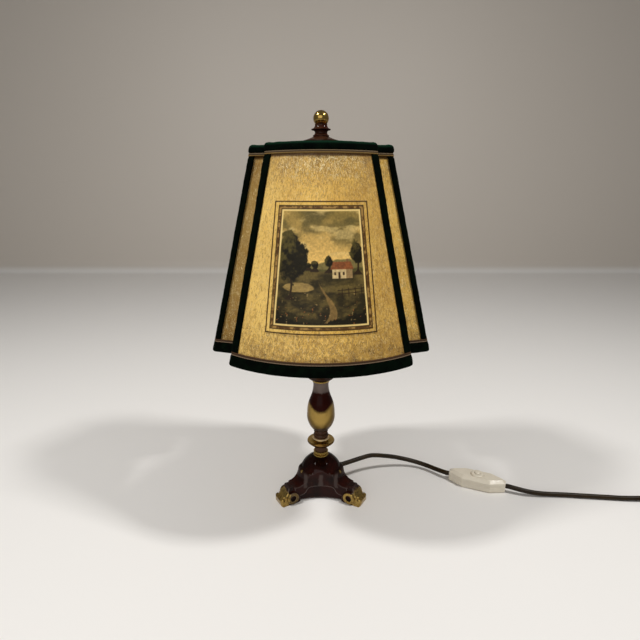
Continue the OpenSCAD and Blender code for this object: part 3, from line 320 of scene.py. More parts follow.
def parchment_colour(s):
    """Aged gold parchment: returns its colour, and the height of its creases for a bump."""
    x, z = s.axis("X"), s.axis("Z")
    from_middle = s.minus(z, SHADE_MIDDLE * MM)
    cloud = s.remap(s.noise(38, 4, 0.6), 0.3, 0.7)
    colour = s.mix(cloud, PAPER_GOLD, PAPER_TAN)
    stain = s.remap(s.noise(9, 5, 0.65), 0.5, 0.76)
    colour = s.mix(s.times(stain, 0.5), colour, PAPER_STAIN)

    # Painted shade beside the wide panels, on the recessed strips; on the panels, painted shade to the right
    # and painted light to the left
    taper = (PANEL_HALF - PANEL_TOP_HALF) / SHADE_H
    panel_edge = s.minus((PANEL_HALF + taper * SHADE_BOTTOM) * MM, s.times(z, taper))
    beside = s.remap(s.minus(s.absolute(x), panel_edge), -0.004, 0.002)
    colour = s.mix(s.times(beside, s.remap(x, -0.05, 0.05, 0.75, 0.14)), colour, PAPER_STRIP_SHADE)
    on_panel = s.minus(1.0, beside)
    sideways = s.wander(x, 20, 0.03)
    right_shade = s.times(s.remap(sideways, 0.0, 0.06), on_panel)
    colour = s.mix(s.times(right_shade, 0.25), colour, PAPER_RIGHT_SHADE)
    colour = s.mix(s.times(s.remap(sideways, -0.015, -0.05, 0.0, 0.35), on_panel), colour, PAPER_LEFT_LIGHT)

    # Grain and fine hairs, denser towards the top and bottom
    end = s.plus(s.remap(s.absolute(from_middle), 0.04, 0.09, -0.06, 0.08), s.times(right_shade, 0.05))
    grain = s.noise(1.5, 3, 0.6, vector=s.fanned(0.4), distortion=1.0)
    colour = s.mix(s.remap(s.plus(grain, end), 0.42, 0.62, 0.0, 0.6), colour, PAPER_GRAIN)
    hair = s.noise(0.65, 3, 0.55, vector=s.fanned(0.24), distortion=2.0)
    drift = s.remap(s.noise(6, 4, 0.65), 0.36, 0.66)
    hairs = s.times(s.remap(s.plus(hair, end), 0.52, 0.66), drift)
    colour = s.mix(s.times(hairs, 0.9), colour, PAPER_HAIR)

    # Painted highlights: bright glints in lines and specks, most of them high up in the middle
    crown = s.times(s.remap(from_middle, 0.056, 0.078), s.remap(s.absolute(x), 0.048, 0.026))
    glint_line = s.remap(s.cracks(9, s.fanned(0.4)), 0.0, 0.03, 1.0, 0.0)
    glint_speck = s.remap(s.noise(1.1, 3, 0.6, vector=s.fanned(0.35), distortion=2.0), 0.535, 0.64)
    patches = s.times(crown, s.remap(s.noise(6, 3), 0.44, 0.6))
    glint_lines = s.times(glint_line, s.most(patches, s.remap(s.noise(17, 3), 0.6, 0.72, 0.0, 0.5)), 0.75)
    glint_specks = s.times(glint_speck, s.most(crown, s.times(beside, 0.5), 0.28))
    colour = s.mix(s.most(glint_lines, glint_specks), colour, PAPER_GLINT)

    # A ragged painted shadow under the upper braid
    ragged = s.wander(z, 1.2, 0.0014)
    braid_shadow = s.remap(ragged, (BRAID_HIGH - 3.2) * MM, (BRAID_HIGH - 1.4) * MM, 0.0, 0.9)
    colour = s.mix(braid_shadow, colour, PAPER_BRAID_SHADOW)

    crease = s.noise(4, 4, 0.6, vector=s.fanned(0.5), distortion=1.5)
    return colour, s.minus(crease, s.times(hairs, 0.5))


def parchment_shader():
    s = Shader("aged_parchment", Specular_IOR_Level=0.35)
    colour, height = parchment_colour(s)
    return s.done(colour, s.mottled(6, 0.34, 0.5), s.bump(height, 0.3, 0.45))


def picture_shader():
    """Printed paper: its paint is in the mesh, and its bare margin shows as parchment."""
    s = Shader("printed_picture", Specular_IOR_Level=0.15)
    paper, height = parchment_colour(s)
    bare = s.attribute("bare")
    foxing = s.remap(s.noise(3.5, 5, 0.7), 0.56, 0.76)
    print_colour = s.mix(s.times(foxing, 0.3), s.attribute("paint", "Color"), srgb(86, 66, 34))
    return s.done(s.mix(bare, print_colour, paper), s.mottled(5, 0.38, 0.55), s.bump(height, 0.2, 0.35))


def velvet_shader():
    """Nearly black green pile, with a painted highlight along the shade's upper rim."""
    s = Shader("green_velvet", Specular_IOR_Level=0.02, Sheen_Weight=0.05, Sheen_Roughness=0.35,
               Sheen_Tint=srgb(40, 110, 62))
    nap = s.remap(s.noise(8, 4, 0.6), 0.35, 0.7)
    colour = s.mix(nap, srgb(2, 5, 3), srgb(4, 13, 6))
    # Painted highlight along the upper rim
    upper = s.remap(s.axis("Z"), (SHADE_TOP - 3) * MM, SHADE_TOP * MM, 0.0, 0.8)
    return s.done(s.mix(upper, colour, srgb(16, 46, 31)), 0.9, s.bump(s.noise(0.4, 3), 0.25, 0.7))


def braid_shader(name, low, under, over):
    """Two cords of their own colours, one over the other, with a dark groove between them."""
    s = Shader(name, Specular_IOR_Level=0.2)
    across = s.math("DIVIDE", s.minus(s.axis("Z"), low * MM), BRAID_W * MM)
    colour = s.mix(s.remap(across, 0.5, 0.6), under, over)
    groove = s.times(s.remap(across, 0.3, 0.44), s.remap(across, 0.74, 0.6))
    colour = s.mix(groove, colour, srgb(44, 28, 10))
    threads = s.noise(0.5, 3)
    colour = s.mix(s.remap(threads, 0.35, 0.65, 0.4, 0.0), colour, srgb(52, 36, 16))
    return s.done(colour, 0.6, s.bump(threads, 0.12, 0.7))


def cord_shader():
    s = Shader("cord_sheath", Specular_IOR_Level=0.2)
    colour = s.mix(s.mottled(12), srgb(44, 31, 10), srgb(28, 19, 5))
    return s.done(colour, 0.42, s.bump(s.noise(0.8, 3), 0.03, 0.5))


# Meshes

def mesh_object(name, points, faces, material):
    mesh = bpy.data.meshes.new(name)
    mesh.from_pydata([tuple(p) for p in points], [], faces)
    turned = bmesh.new()
    turned.from_mesh(mesh)
    bmesh.ops.recalc_face_normals(turned, faces=turned.faces)
    turned.to_mesh(mesh)
    turned.free()
    mesh.shade_smooth()
    made = bpy.data.objects.new(name, mesh)
    mesh.materials.append(material)
    bpy.context.scene.collection.objects.link(made)
    return made


def shade_skin(name, loops, material, node=None, wrap=False):
    """A piece of the shade: a closed skin over loops of equally many points, in place of a CAD node.

    wrap joins the last loop to the first."""
    count = len(loops)
    size = len(loops[0])
    points = [p for loop in loops for p in loop]
    faces = []
    for i in range(count if wrap else count - 1):
        a = i * size
        b = (i + 1) % count * size
        for j in range(size):
            k = (j + 1) % size
            faces.append((a + j, b + j, b + k, a + k))
    if not wrap:
        faces.append(tuple(range(size)))
        faces.append(tuple(reversed(range((count - 1) * size, count * size))))
    made = mesh_object(name, points, faces, material)
    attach(made, "shade")
    if node:
        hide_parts(node)
    return made


def soften(node, voxel, passes, material):
    """A rounded copy of a CAD node of the stand, for castings and mouldings whose edges aren't sharp."""
    made = bpy.data.objects.new(node + "_soft", nodes[node].data.copy())
    bpy.context.scene.collection.objects.link(made)
    remesh = made.modifiers.new("remesh", "REMESH")
    remesh.mode = "VOXEL"
    remesh.voxel_size = voxel * MM
    relax = made.modifiers.new("relax", "SMOOTH")
    relax.factor = 0.5
    relax.iterations = passes
    bpy.context.view_layer.update()
    baked = bpy.data.meshes.new_from_object(made.evaluated_get(bpy.context.evaluated_depsgraph_get()))
    made.modifiers.clear()
    made.data = baked
    baked.materials.clear()
    baked.materials.append(material)
    baked.shade_smooth()
    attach(made, "stand")
    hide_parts(node)
    return made


def mark_edges(made, voxel, passes):
    """Writes how far each point stands out from its neighbours, in voxels, as the attribute edge."""
    mesh = made.data
    count = len(mesh.vertices)
    points = np.empty(count * 3)
    mesh.vertices.foreach_get("co", points)
    points = points.reshape(-1, 3)
    normals = np.empty(count * 3)
    mesh.vertices.foreach_get("normal", normals)
    ends = np.empty(len(mesh.edges) * 2, dtype=np.int32)
    mesh.edges.foreach_get("vertices", ends)
    a, b = ends.reshape(-1, 2).T
    near = np.maximum(np.bincount(a, minlength=count) + np.bincount(b, minlength=count), 1)

    def around(values):
        return (np.bincount(a, values[b], count) + np.bincount(b, values[a], count)) / near

    normals = normals.reshape(-1, 3)
    out = sum((points[:, k] - around(points[:, k])) * normals[:, k] for k in range(3)) / (voxel * MM)
    for step in range(passes):
        out = (out + around(out)) / 2
    mesh.attributes.new("edge", "FLOAT", "POINT").data.foreach_set("value", out)


def dress(material, *names):
    """Gives CAD nodes a material."""
    for name in names:
        data = nodes[name].data
        data.materials.clear()
        data.materials.append(material)


def ripple(p, size, height, seed=0.0):
    """A smooth random height at a point, for creases and pile."""
    return noise.noise(Vector((p.x, p.y, p.z + seed)) / (size * MM)) * height


# Cords: the routes of part.scad, in millimetres

CORD_D = 5.2
EXIT_Z = 22.5
EXIT_ANGLE = math.radians(30)
CORD_IN = 15
BUSH_END = 27.5
SWITCH_MID = (179.5, 7.4)
SWITCH_TURN = math.radians(-23.9)
SWITCH_L = 62
SEAM_Z = 7
CORD_REST = 2.7
COIL_MID = (392, -66)
COIL_R = 43
COIL_STEP = 7
COIL_LOW = 4.0
COIL_RISE = 6.4
LAYER_TURNS = 3.375
CLIMB_TURNS = 0.5
PLUG_Y = -136
PLUG_Z = 7
RELIEF_X = 402


def on_switch(x):
    return (SWITCH_MID[0] + x * math.cos(SWITCH_TURN), SWITCH_MID[1] + x * math.sin(SWITCH_TURN), SEAM_Z)


def on_exit(r):
    return (r * math.cos(EXIT_ANGLE), r * math.sin(EXIT_ANGLE), EXIT_Z)


def coil_points(per_turn=36):
    """Two layers of flat turns, inwards below and outwards above."""
    points = []
    turns = 2 * LAYER_TURNS + CLIMB_TURNS
    for i in range(round(turns * per_turn) + 1):
        turn = i / per_turn
        climb = min(1, max(0, (turn - LAYER_TURNS) / CLIMB_TURNS))
        back = max(0, turn - LAYER_TURNS - CLIMB_TURNS)
        r = COIL_R - COIL_STEP * min(turn, LAYER_TURNS) + COIL_STEP * back
        a = math.pi / 2 - 2 * math.pi * turn
        z = COIL_LOW + COIL_RISE * climb * climb * (3 - 2 * climb)
        points.append((COIL_MID[0] + r * math.cos(a), COIL_MID[1] + r * math.sin(a), z))
    return points


def smoothed(points, steps=6):
    """A smooth path through every given point."""
    p = [Vector(q) for q in points]
    path = []
    for i in range(len(p) - 1):
        before, a, b, after = p[max(i - 1, 0)], p[i], p[i + 1], p[min(i + 2, len(p) - 1)]
        for step in range(steps):
            t = step / steps
            path.append(0.5 * (2 * a + (b - before) * t + (2 * before - 5 * a + 4 * b - after) * t * t
                               + (3 * a - before - 3 * b + after) * t ** 3))
    path.append(p[-1])
    return path


def cord_piece(name, path, material):
    curve = bpy.data.curves.new(name, "CURVE")
    curve.dimensions = "3D"
    curve.bevel_depth = CORD_D / 2 * MM
    curve.bevel_resolution = 5
    curve.use_fill_caps = True
    spline = curve.splines.new("POLY")
    spline.points.add(len(path) - 1)
    for point, p in zip(spline.points, path):
        point.co = (*(Vector(p) * MM), 1)
    spline.use_smooth = True
    curve.materials.append(material)
    made = bpy.data.objects.new(name, curve)
    bpy.context.scene.collection.objects.link(made)
    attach(made, "stand")
    return made


lead_route = [on_exit(r) for r in (CORD_IN, CORD_IN + 6, BUSH_END, BUSH_END + 12)] + [
    (56, 32, 22.5), (66, 37, 20.5), (76, 41, 17.5), (87, 44, 14.5), (98, 45.5, 11.5), (108, 45.5, 9),
    (118, 43.5, 7), (128, 38.5, 6), (137, 31, 6),
    on_switch(-SWITCH_L / 2 - CORD_D), on_switch(-SWITCH_L / 2)]
run_route = [on_switch(SWITCH_L / 2), on_switch(SWITCH_L / 2 + CORD_D)] + [
    (227, -12.5, 5.5), (241, -14, 3.6), (255, -14.5, CORD_REST), (270, -15.5, CORD_REST),
    (285, -17, CORD_REST), (300, -18.5, CORD_REST), (315, -20, CORD_REST), (330, -21.5, CORD_REST),
    (345, -22.5, 3.2), (360, -23, 3.8), (373, -23, COIL_LOW), (COIL_MID[0] - CORD_D, -23, COIL_LOW)]
coil_route = coil_points()
coil_out = coil_route[-1]
tail_route = [(coil_out[0], coil_out[1] - CORD_D * k, coil_out[2]) for k in (1, 2)] + [
    (434.5, -90, 9.5), (432, -102, 8.5), (428, -113, 7.8), (421.5, -124, 7.2), (412.5, -132, PLUG_Z),
    (RELIEF_X + CORD_D, PLUG_Y, PLUG_Z), (RELIEF_X, PLUG_Y, PLUG_Z)]

sheath = cord_shader()
lead_path = smoothed(lead_route)
main_path = smoothed(run_route) + [Vector(p) for p in coil_route] + smoothed(tail_route)
cord_lead = cord_piece("cord_to_switch", lead_path, sheath)
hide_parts("cord_lead")
cord_main = cord_piece("cord_to_plug", main_path, sheath)
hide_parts("cord_run", "cord_coil", "cord_tail")


# Shade: its outline at any height

def up_share(z):
    return (z - SHADE_BOTTOM) / SHADE_H


def between(low, high, t):
    return low + (high - low) * t


def arc(p0, p1, sag, count):
    """Points of a circular arc that rises by sag to the right of the way from p0 to p1."""
    p0, p1 = np.array(p0, float), np.array(p1, float)
    chord = p1 - p0
    length = np.hypot(*chord)
    along = chord / length
    right = np.array([along[1], -along[0]])
    half = 2 * math.atan(2 * sag / length)
    r = length / 2 / math.sin(half)
    middle = (p0 + p1) / 2 - right * r * math.cos(half)
    angles = np.linspace(-half, half, count + 1)
    return [middle + r * (along * math.sin(t) + right * math.cos(t)) for t in angles]


def plan(half, k):
    """The outline, anticlockwise, from the half width of the wide panels and the scale k of all else."""
    front = arc((-half, -PANEL_Y * k), (half, -PANEL_Y * k), PANEL_BOW * k, FRONT_N)
    right = arc((SIDE_X * k, -SIDE_HALF * k), (SIDE_X * k, SIDE_HALF * k), SIDE_BOW * k, SIDE_N)
    notch = np.array((half - NOTCH_IN * k, -NOTCH_Y * k))
    half_round = np.array(front + [notch] + right + [notch * (1, -1)])
    return np.concatenate([half_round, -half_round])


def outward(points):
    """Mitred outward directions at each point of a closed, anticlockwise outline."""
    ahead = np.roll(points, -1, axis=0) - points
    ahead /= np.linalg.norm(ahead, axis=1)[:, None]
    after = np.stack([ahead[:, 1], -ahead[:, 0]], axis=1)
    before = np.roll(after, 1, axis=0)
    return (before + after) / (1 + (before * after).sum(axis=1))[:, None]


class Outline:
    """The shade's outline from its bottom to its top, with an outward direction at each point."""

    def __init__(self, low, high):
        self.low, self.high = low, high
        self.low_out, self.high_out = outward(low), outward(high)

    def __len__(self):
        return len(self.low)

    def at(self, i, z):
        i %= len(self)
        return between(self.low[i], self.high[i], up_share(z))

    def point(self, i, out, z):
        """A point of the wall, so far beyond the parchment's face, in metres."""
        i %= len(self)
        x, y = self.at(i, z) + between(self.low_out[i], self.high_out[i], up_share(z)) * out
        return Vector((x, y, z)) * MM


outline = Outline(plan(PANEL_HALF, 1), plan(PANEL_TOP_HALF, TOP_RATIO))
RIGHT_START = FRONT_N + 2
BACK_START = RIGHT_START + SIDE_N + 2
LEFT_START = BACK_START + RIGHT_START
PANELS = {"front": (0, FRONT_N), "right": (RIGHT_START, RIGHT_START + SIDE_N),
          "back": (BACK_START, BACK_START + FRONT_N), "left": (LEFT_START, LEFT_START + SIDE_N)}
STRIPS = {"front_right": PANELS["front"][1], "back_right": PANELS["right"][1],
          "back_left": PANELS["back"][1], "front_left": PANELS["left"][1]}


def rounded(radius, spacing):
    """The outline with its corners rounded off, sampled evenly."""
    corners = {i for start, end in PANELS.values() for i in (start, end, end + 1)}
    both = np.concatenate([outline.low, outline.high], axis=1)
    points = []
    for i, p in enumerate(both):
        if i not in corners:
            points.append(p)
            continue
        before = both[i - 1] - p
        after = both[(i + 1) % len(both)] - p
        a = p + before * min(radius / np.hypot(*before[:2]), 0.45)
        b = p + after * min(radius / np.hypot(*after[:2]), 0.45)
        points += [(1 - t) ** 2 * a + 2 * t * (1 - t) * p + t * t * b for t in np.linspace(0, 1, 7)]
    points = np.array(points + points[:1])
    run = np.concatenate([[0], np.cumsum(np.hypot(*np.diff(points[:, :2], axis=0).T))])
    where = np.linspace(0, run[-1], round(run[-1] / spacing), endpoint=False)
    even = np.stack([np.interp(where, run, column) for column in points.T], axis=1)
    return Outline(even[:, :2], even[:, 2:])


parchment = parchment_shader()
PAPER_LOW = SHADE_BOTTOM + VELVET_T + SEAT_GAP
PAPER_HIGH = SHADE_TOP - VELVET_T - SEAT_GAP
PAPER_ROWS = 48
PAPER_SAG = 0.22
PAPER_FADE = 12


def parchment_wall(name, start, end):
    """One wall of the shade: a sheet with slight hollows, closed over its thickness."""
    heights = np.linspace(PAPER_LOW, PAPER_HIGH, PAPER_ROWS)
    loops = []
    for i in range(start, end + 1):
        face = []
        for z in heights:
            at = outline.point(i, 0, z)
            hollow = PAPER_SAG + ripple(at, 26, 0.16) + ripple(at, 7, 0.06, 3.0)
            fade = min(z - PAPER_LOW, PAPER_HIGH - z, PAPER_FADE) / PAPER_FADE
            face.append(outline.point(i, -hollow * fade, z))
        back = [outline.point(i, -PARCHMENT_T, z) for z in reversed(heights)]
        loops.append(face + back)
    shade_skin("parchment_" + name, loops, parchment, name)


for side, (first, last) in PANELS.items():
    parchment_wall("panel_" + side, first, last)
for side, first in STRIPS.items():
    parchment_wall("corner_" + side, first, first + 2)


# Velvet: rolls round both rims, and ribbons folded round the eight upright edges

velvet = velvet_shader()
roll_plan = rounded(radius=2.6, spacing=1.3)
TRIM_IN = -PARCHMENT_T - FRAME_D - 2 * SEAT_GAP
ROLL_OUT = 1.75
ROLL_IN_H = 6
FOLD_H = 2.6
KNOT_REACH = 3.5


def velvet_roll(name, node, section, knot):
    """A soft roll of velvet round a rim, from a section of (out, z) points, thicker at the eight edges."""
    edges = [i for span in PANELS.values() for i in span]
    loops = []
    for i in range(len(roll_plan)):
        z = section[0][1]
        to_edge = min(np.hypot(*(roll_plan.at(i, z) - outline.at(k, z))) for k in edges)
        swell = knot * math.exp(-(to_edge / KNOT_REACH) ** 2)
        loop = []
        for out, z in section:
            at = roll_plan.point(i, out, z)
            puff = ripple(at, 9, 0.5) + ripple(at, 1.8, 0.22, 5.0) + swell
            loop.append(roll_plan.point(i, out + puff * (1 if out > 0 else 0.3), z + puff * 0.5))
        loops.append(loop)
    shade_skin(name, loops, velvet, node, wrap=True)


def roll_section(edge, inward, height):
    """Outer face, rounded fold at the edge, inner face and back; inward is +1 for the bottom."""
    roll_in = TRIM_IN - VELVET_T
    middle = (ROLL_OUT + roll_in) / 2
    half = (ROLL_OUT - roll_in) / 2
    outer = [(ROLL_OUT - 0.9 * t ** 6, edge + inward * between(FOLD_H, height, t))
             for t in np.linspace(1, 0, 9)]
    fold = [(middle + half * math.cos(a), edge + inward * FOLD_H * (1 - math.sin(a)))
            for a in np.linspace(0, math.pi, 11)[1:-1]]
    inner = [(roll_in, edge + inward * between(FOLD_H, ROLL_IN_H, t)) for t in np.linspace(0, 1, 4)]
    back = [(TRIM_IN, edge + inward * ROLL_IN_H), (TRIM_IN, edge + inward * VELVET_T),
            (SEAT_GAP, edge + inward * VELVET_T), (SEAT_GAP, edge + inward * height)]
    return outer + fold + inner + back


velvet_roll("velvet_rim_bottom", "velvet_bottom", roll_section(SHADE_BOTTOM, 1, VELVET_BOTTOM_H), knot=0.3)
velvet_roll("velvet_rim_top", "velvet_top", roll_section(SHADE_TOP, -1, VELVET_TOP_H), knot=0.9)

RIBBON_LOW = BRAID_LOW + BRAID_W * 0.7
RIBBON_HIGH = BRAID_HIGH + BRAID_W * 0.3
RIBBON_ROWS = 120
RIBBON_POINTS = 25
RIBBON_BEND = 1.6


def unit(v):
    return v / np.hypot(*v)


def ribbon_ring(i, z, widths):
    """The ribbon's section at one height: puffed out between its sewn edges, flat under the braids."""
    corner = outline.at(i, z)
    ways = [unit(outline.at(i - 1, z) - corner), unit(outline.at(i + 1, z) - corner)]
    faces = [np.array([-ways[0][1], ways[0][0]]), np.array([ways[1][1], -ways[1][0]])]
    swell = min(1, min(z - RIBBON_LOW, RIBBON_HIGH - z) / 3)
    front = []
    back = []
    for s in np.linspace(-1, 1, RIBBON_POINTS):
        k = 0 if s < 0 else 1
        d = abs(s) * widths[k]
        blend = min(1, d / RIBBON_BEND)
        out = unit(faces[k] * (0.5 + 0.5 * blend) + faces[1 - k] * (0.5 - 0.5 * blend))
        foot = corner + ways[k] * d
        puff = 0.25 + (0.4 + 0.8 * swell) * (1 - abs(s) ** 5) ** 0.5
        at = Vector((*(foot + out * puff), z)) * MM
        puff += swell * (ripple(at, 1.8, 0.2, 5.0) + ripple(at, 9, 0.25))
        front.append(Vector((*(foot + out * puff), z)) * MM)
        back.append(Vector((*(foot + out * SEAT_GAP), z)) * MM)
    return front + back[::-1]


def velvet_ribbons():
    """Eight ribbons; the first takes the place of the node that holds them all."""
    node = "velvet_edges"
    for name, (start, end) in PANELS.items():
        strip = VELVET_EDGE_W if name in ("front", "back") else VELVET_STRIP_W
        for i, widths in ((start, (strip, VELVET_EDGE_W)), (end, (VELVET_EDGE_W, strip))):
            loops = [ribbon_ring(i, z, widths) for z in np.linspace(RIBBON_LOW, RIBBON_HIGH, RIBBON_ROWS)]
            label = "start" if i == start else "end"
            shade_skin("velvet_edge_%s_%s" % (name, label), loops, velvet, node)
            node = None


velvet_ribbons()


# Braid: a flat tape of two twisted cords along each rim

low_braid = braid_shader("low_braid", BRAID_LOW, srgb(132, 111, 88), srgb(66, 40, 16))
high_braid = braid_shader("high_braid", BRAID_HIGH, srgb(132, 104, 52), srgb(108, 90, 64))
BRAID_STEP = 0.8
TWIST = 2.6
GROOVE_DEPTH = 0.3
GROOVE_HALF = 0.25
STRAND_SWELL = 0.1
STRAND_LEAN = 3
braid_plan = rounded(radius=2.2, spacing=BRAID_STEP)


def braid_ring(name, node, low, braid):
    """A tape with a groove along its middle, whose two halves swell in turn."""
    middle = low + BRAID_W / 2
    count = len(braid_plan)
    turns = round(count * BRAID_STEP / TWIST)
    loops = []
    for i in range(count):
        phase = 2 * math.pi * turns * i / count
        loop = []
        for a in np.linspace(0, 2 * math.pi, 17)[:-1]:
            across = math.sin(a)
            flat = math.copysign(abs(math.cos(a)) ** 0.5, math.cos(a))
            groove = GROOVE_DEPTH * math.exp(-(across / GROOVE_HALF) ** 2)
            strand = STRAND_SWELL * math.cos(phase + STRAND_LEAN * abs(across))
            out = SEAT_GAP + BRAID_T / 2 + (BRAID_T / 2 - groove + strand) * flat
            loop.append(braid_plan.point(i, out, middle + BRAID_W / 2 * across))
        loops.append(loop)
    shade_skin(name, loops, braid, node, wrap=True)


braid_ring("braid_rim_bottom", "braid_bottom", BRAID_LOW, low_braid)
braid_ring("braid_rim_top", "braid_top", BRAID_HIGH, high_braid)


# Picture: a framed country view of no particular place, painted point by point on a thin sheet

PRINT_LOW = SHADE_BOTTOM + 36
PRINT_H = 109
PRINT_HALF_LOW = 48
PRINT_HALF_TOP = 38.5
PRINT_T = 0.4
PRINT_BACK = 1.5 * SEAT_GAP
PRINT_STEP = 0.45
LINE_END = 1.0
MARGIN_END = 3.5
BAND_END = 6.8
CREAM_END = 8.2
LINE_SOFT = 0.2
FRAME_LINE = (58, 40, 21)
FRAME_CREAM = (242, 210, 134)
BAND_DARK = np.array((86, 58, 27))
BAND_LIGHT = np.array((160, 125, 68))
BAND_VEIN = (58, 41, 20)
BAND_RIM = (45, 30, 14)


def smooth(value, low, high):
    """0 below low, 1 above high, and a smooth step between; falls where low is above high."""
    t = np.clip((value - low) / (high - low), 0, 1)
    return t * t * (3 - 2 * t)


def value_noise(x, y, seed):
    """Smooth noise, 0 to 1, over a seeded grid of random values."""
    size = 128
    grid = np.random.default_rng(seed).random((size, size))
    x0, y0 = np.floor(x).astype(int), np.floor(y).astype(int)
    fx, fy = smooth(x - x0, 0, 1), smooth(y - y0, 0, 1)
    low = between(grid[x0 % size, y0 % size], grid[(x0 + 1) % size, y0 % size], fx)
    high = between(grid[x0 % size, (y0 + 1) % size], grid[(x0 + 1) % size, (y0 + 1) % size], fx)
    return between(low, high, fy)


def fractal(x, y, seed, octaves=5):
    total = sum(value_noise(x * 2 ** k, y * 2 ** k, seed + k) / 2 ** k for k in range(octaves))
    return total / sum(1 / 2 ** k for k in range(octaves))


def lay(paint, colour, mask):
    """Lays a colour over a painting where a mask is 1."""
    return paint + (np.asarray(colour, float) - paint) * np.asarray(mask)[..., None]


def sky(s, t):
    clouds = fractal(s * 2.6, t * 6, 11)
    wisps = fractal(s * 4 + 3, t * 13, 21)
    paint = np.zeros(s.shape + (3,)) + (196, 160, 88)
    paint = lay(paint, (234, 190, 106), smooth(t, 0.8, 0.52))
    paint = lay(paint, (130, 110, 56), smooth(t + 0.5 * (clouds - 0.5), 0.74, 1.02))
    paint = lay(paint, (98, 86, 48), 0.75 * smooth(clouds, 0.5, 0.66) * smooth(t, 0.6, 0.82))
    return lay(paint, (236, 204, 132), 0.5 * smooth(wisps, 0.52, 0.68) * smooth(t, 0.56, 0.66))


def land(paint, s, t):
    """Hills, a meadow that darkens towards the front, a pond and a path."""
    for base, height, seed, colour in ((0.5, 0.14, 31, (122, 108, 62)), (0.46, 0.1, 41, (84, 78, 42))):
        ridge = base + height * fractal(s * 2.4, 0 * s, seed)
        paint = lay(paint, colour, smooth(ridge - t, 0, 0.012))
    patches = fractal(s * 7, t * 16, 51)
    meadow = between(np.array((50, 43, 24)), np.array((102, 86, 46)), smooth(patches, 0.3, 0.7)[..., None])
    front = smooth(t, 0.4, 0.0)
    meadow = lay(meadow, (40, 34, 20), 0.75 * front * smooth(patches, 0.75, 0.35))
    ground = smooth(0.47 + 0.02 * patches - t, 0, 0.015)
    paint = lay(paint, meadow, ground)
    shore = 1 - ((s - 0.24) / 0.2) ** 2 - ((t - 0.33) / 0.045) ** 2 + 0.6 * (patches - 0.5)
    streaks = 0.75 + 0.25 * fractal(s * 6, t * 60, 61)
    paint = lay(paint, np.array((176, 146, 84)) * streaks[..., None], smooth(shore, 0, 0.2))
    middle = 0.52 + 0.13 * np.sin(9 * t + 0.4) * (1 - t)
    width = 0.075 * smooth(t, 0.5, -0.15)
    path = smooth(width - np.abs(s - middle) + 0.02 * (patches - 0.5), 0, 0.012) * smooth(t, 0.45, 0.42)
    return lay(paint, (140, 110, 62), 0.8 * path)


def tree(paint, s, t, foot, height, spread, seed):
    """A tree that stands at foot (s, t): trunk, then a crown of leaves lit from the upper left."""
    leaves = fractal(s * 17, t * 20, seed)
    bend = 0.015 * np.sin(14 * (t - foot[1]))
    rise = t - foot[1]
    width = 0.014 * (1 + 3 * smooth(rise, 0.05, 0))
    trunk = smooth(width - np.abs(s - foot[0] - bend), 0, 0.006) * smooth(rise, -0.005, 0.005)
    paint = lay(paint, (48, 36, 22), trunk * smooth(rise, 0.8 * height, 0.5 * height))
    across = (s - foot[0]) / spread
    up = (rise - 0.64 * height) / (0.38 * height)
    crown = smooth(1 - across ** 2 - up ** 2 + 1.7 * (leaves - 0.5), 0.02, 0.3)
    lit = smooth(leaves + 0.22 * (up - across), 0.42, 0.78)
    return lay(paint, between(np.array((30, 26, 14)), np.array((84, 74, 36)), lit[..., None]), crown)


def box_mask(s, t, s0, s1, t0, t1):
    edge = 0.004
    across = smooth(s, s0, s0 + edge) * smooth(s, s1, s1 - edge)
    return across * smooth(t, t0, t0 + edge) * smooth(t, t1, t1 - edge)


def cottage(paint, s, t):
    """A low house with a tiled roof, a chimney, a door and two windows."""
    paint = lay(paint, (120, 88, 58), box_mask(s, t, 0.8, 0.83, 0.5, 0.585))
    paint = lay(paint, (204, 178, 126), box_mask(s, t, 0.63, 0.87, 0.41, 0.5))
    paint = lay(paint, (150, 122, 80), box_mask(s, t, 0.79, 0.87, 0.41, 0.5))
    slope = 0.5 * (t - 0.49)
    roof = box_mask(s, t, 0.605 + slope, 0.89 - slope, 0.49, 0.56)
    tiles = 0.8 + 0.3 * fractal(s * 40, t * 60, 71)
    paint = lay(paint, np.array((140, 82, 46)) * tiles[..., None], roof)
    openings = ((0.7, 0.41, 0.028, 0.06), (0.65, 0.44, 0.026, 0.03), (0.75, 0.44, 0.026, 0.03))
    for left, low, wide, tall in openings:
        paint = lay(paint, (58, 42, 26), box_mask(s, t, left, left + wide, low, low + tall))
    return paint


def foreground(paint, s, t):
    """Bushes along the bottom, flowers in them, and a rail fence at the right."""
    leaves = fractal(s * 20, t * 26, 81)
    for rise, seed, colour in ((0.2, 91, (48, 42, 22)), (0.13, 95, (30, 26, 14))):
        top = rise * fractal(s * 3.2, 0 * s, seed) * (0.5 + 1.6 * (s - 0.45) ** 2 / 0.3)
        paint = lay(paint, colour, smooth(top + 0.05 * (leaves - 0.5) - t, 0, 0.02))
    flowers = smooth(fractal(s * 55, t * 60, 101, 2), 0.82, 0.86) * smooth(t, 0.24, 0.1)
    paint = lay(paint, (160, 96, 50), flowers)
    stones = smooth(fractal(s * 32 + 9, t * 46, 111, 2), 0.82, 0.86) * smooth(t, 0.4, 0.3)
    paint = lay(paint, (168, 140, 88), 0.7 * stones)
    wood = (46, 34, 20)
    rail = 0.24 + 0.05 * s
    fenced = smooth(s, 0.68, 0.69)
    for up in (0.0, 0.03):
        paint = lay(paint, wood, smooth(0.005 - np.abs(t - rail - up), 0, 0.003) * fenced)
    posts = smooth(0.007 - np.abs((s - 0.7) % 0.075 - 0.0375), 0, 0.004) * fenced
    posts = posts * smooth(t, rail - 0.035, rail - 0.03) * smooth(t, rail + 0.05, rail + 0.045)
    return lay(paint, wood, posts)


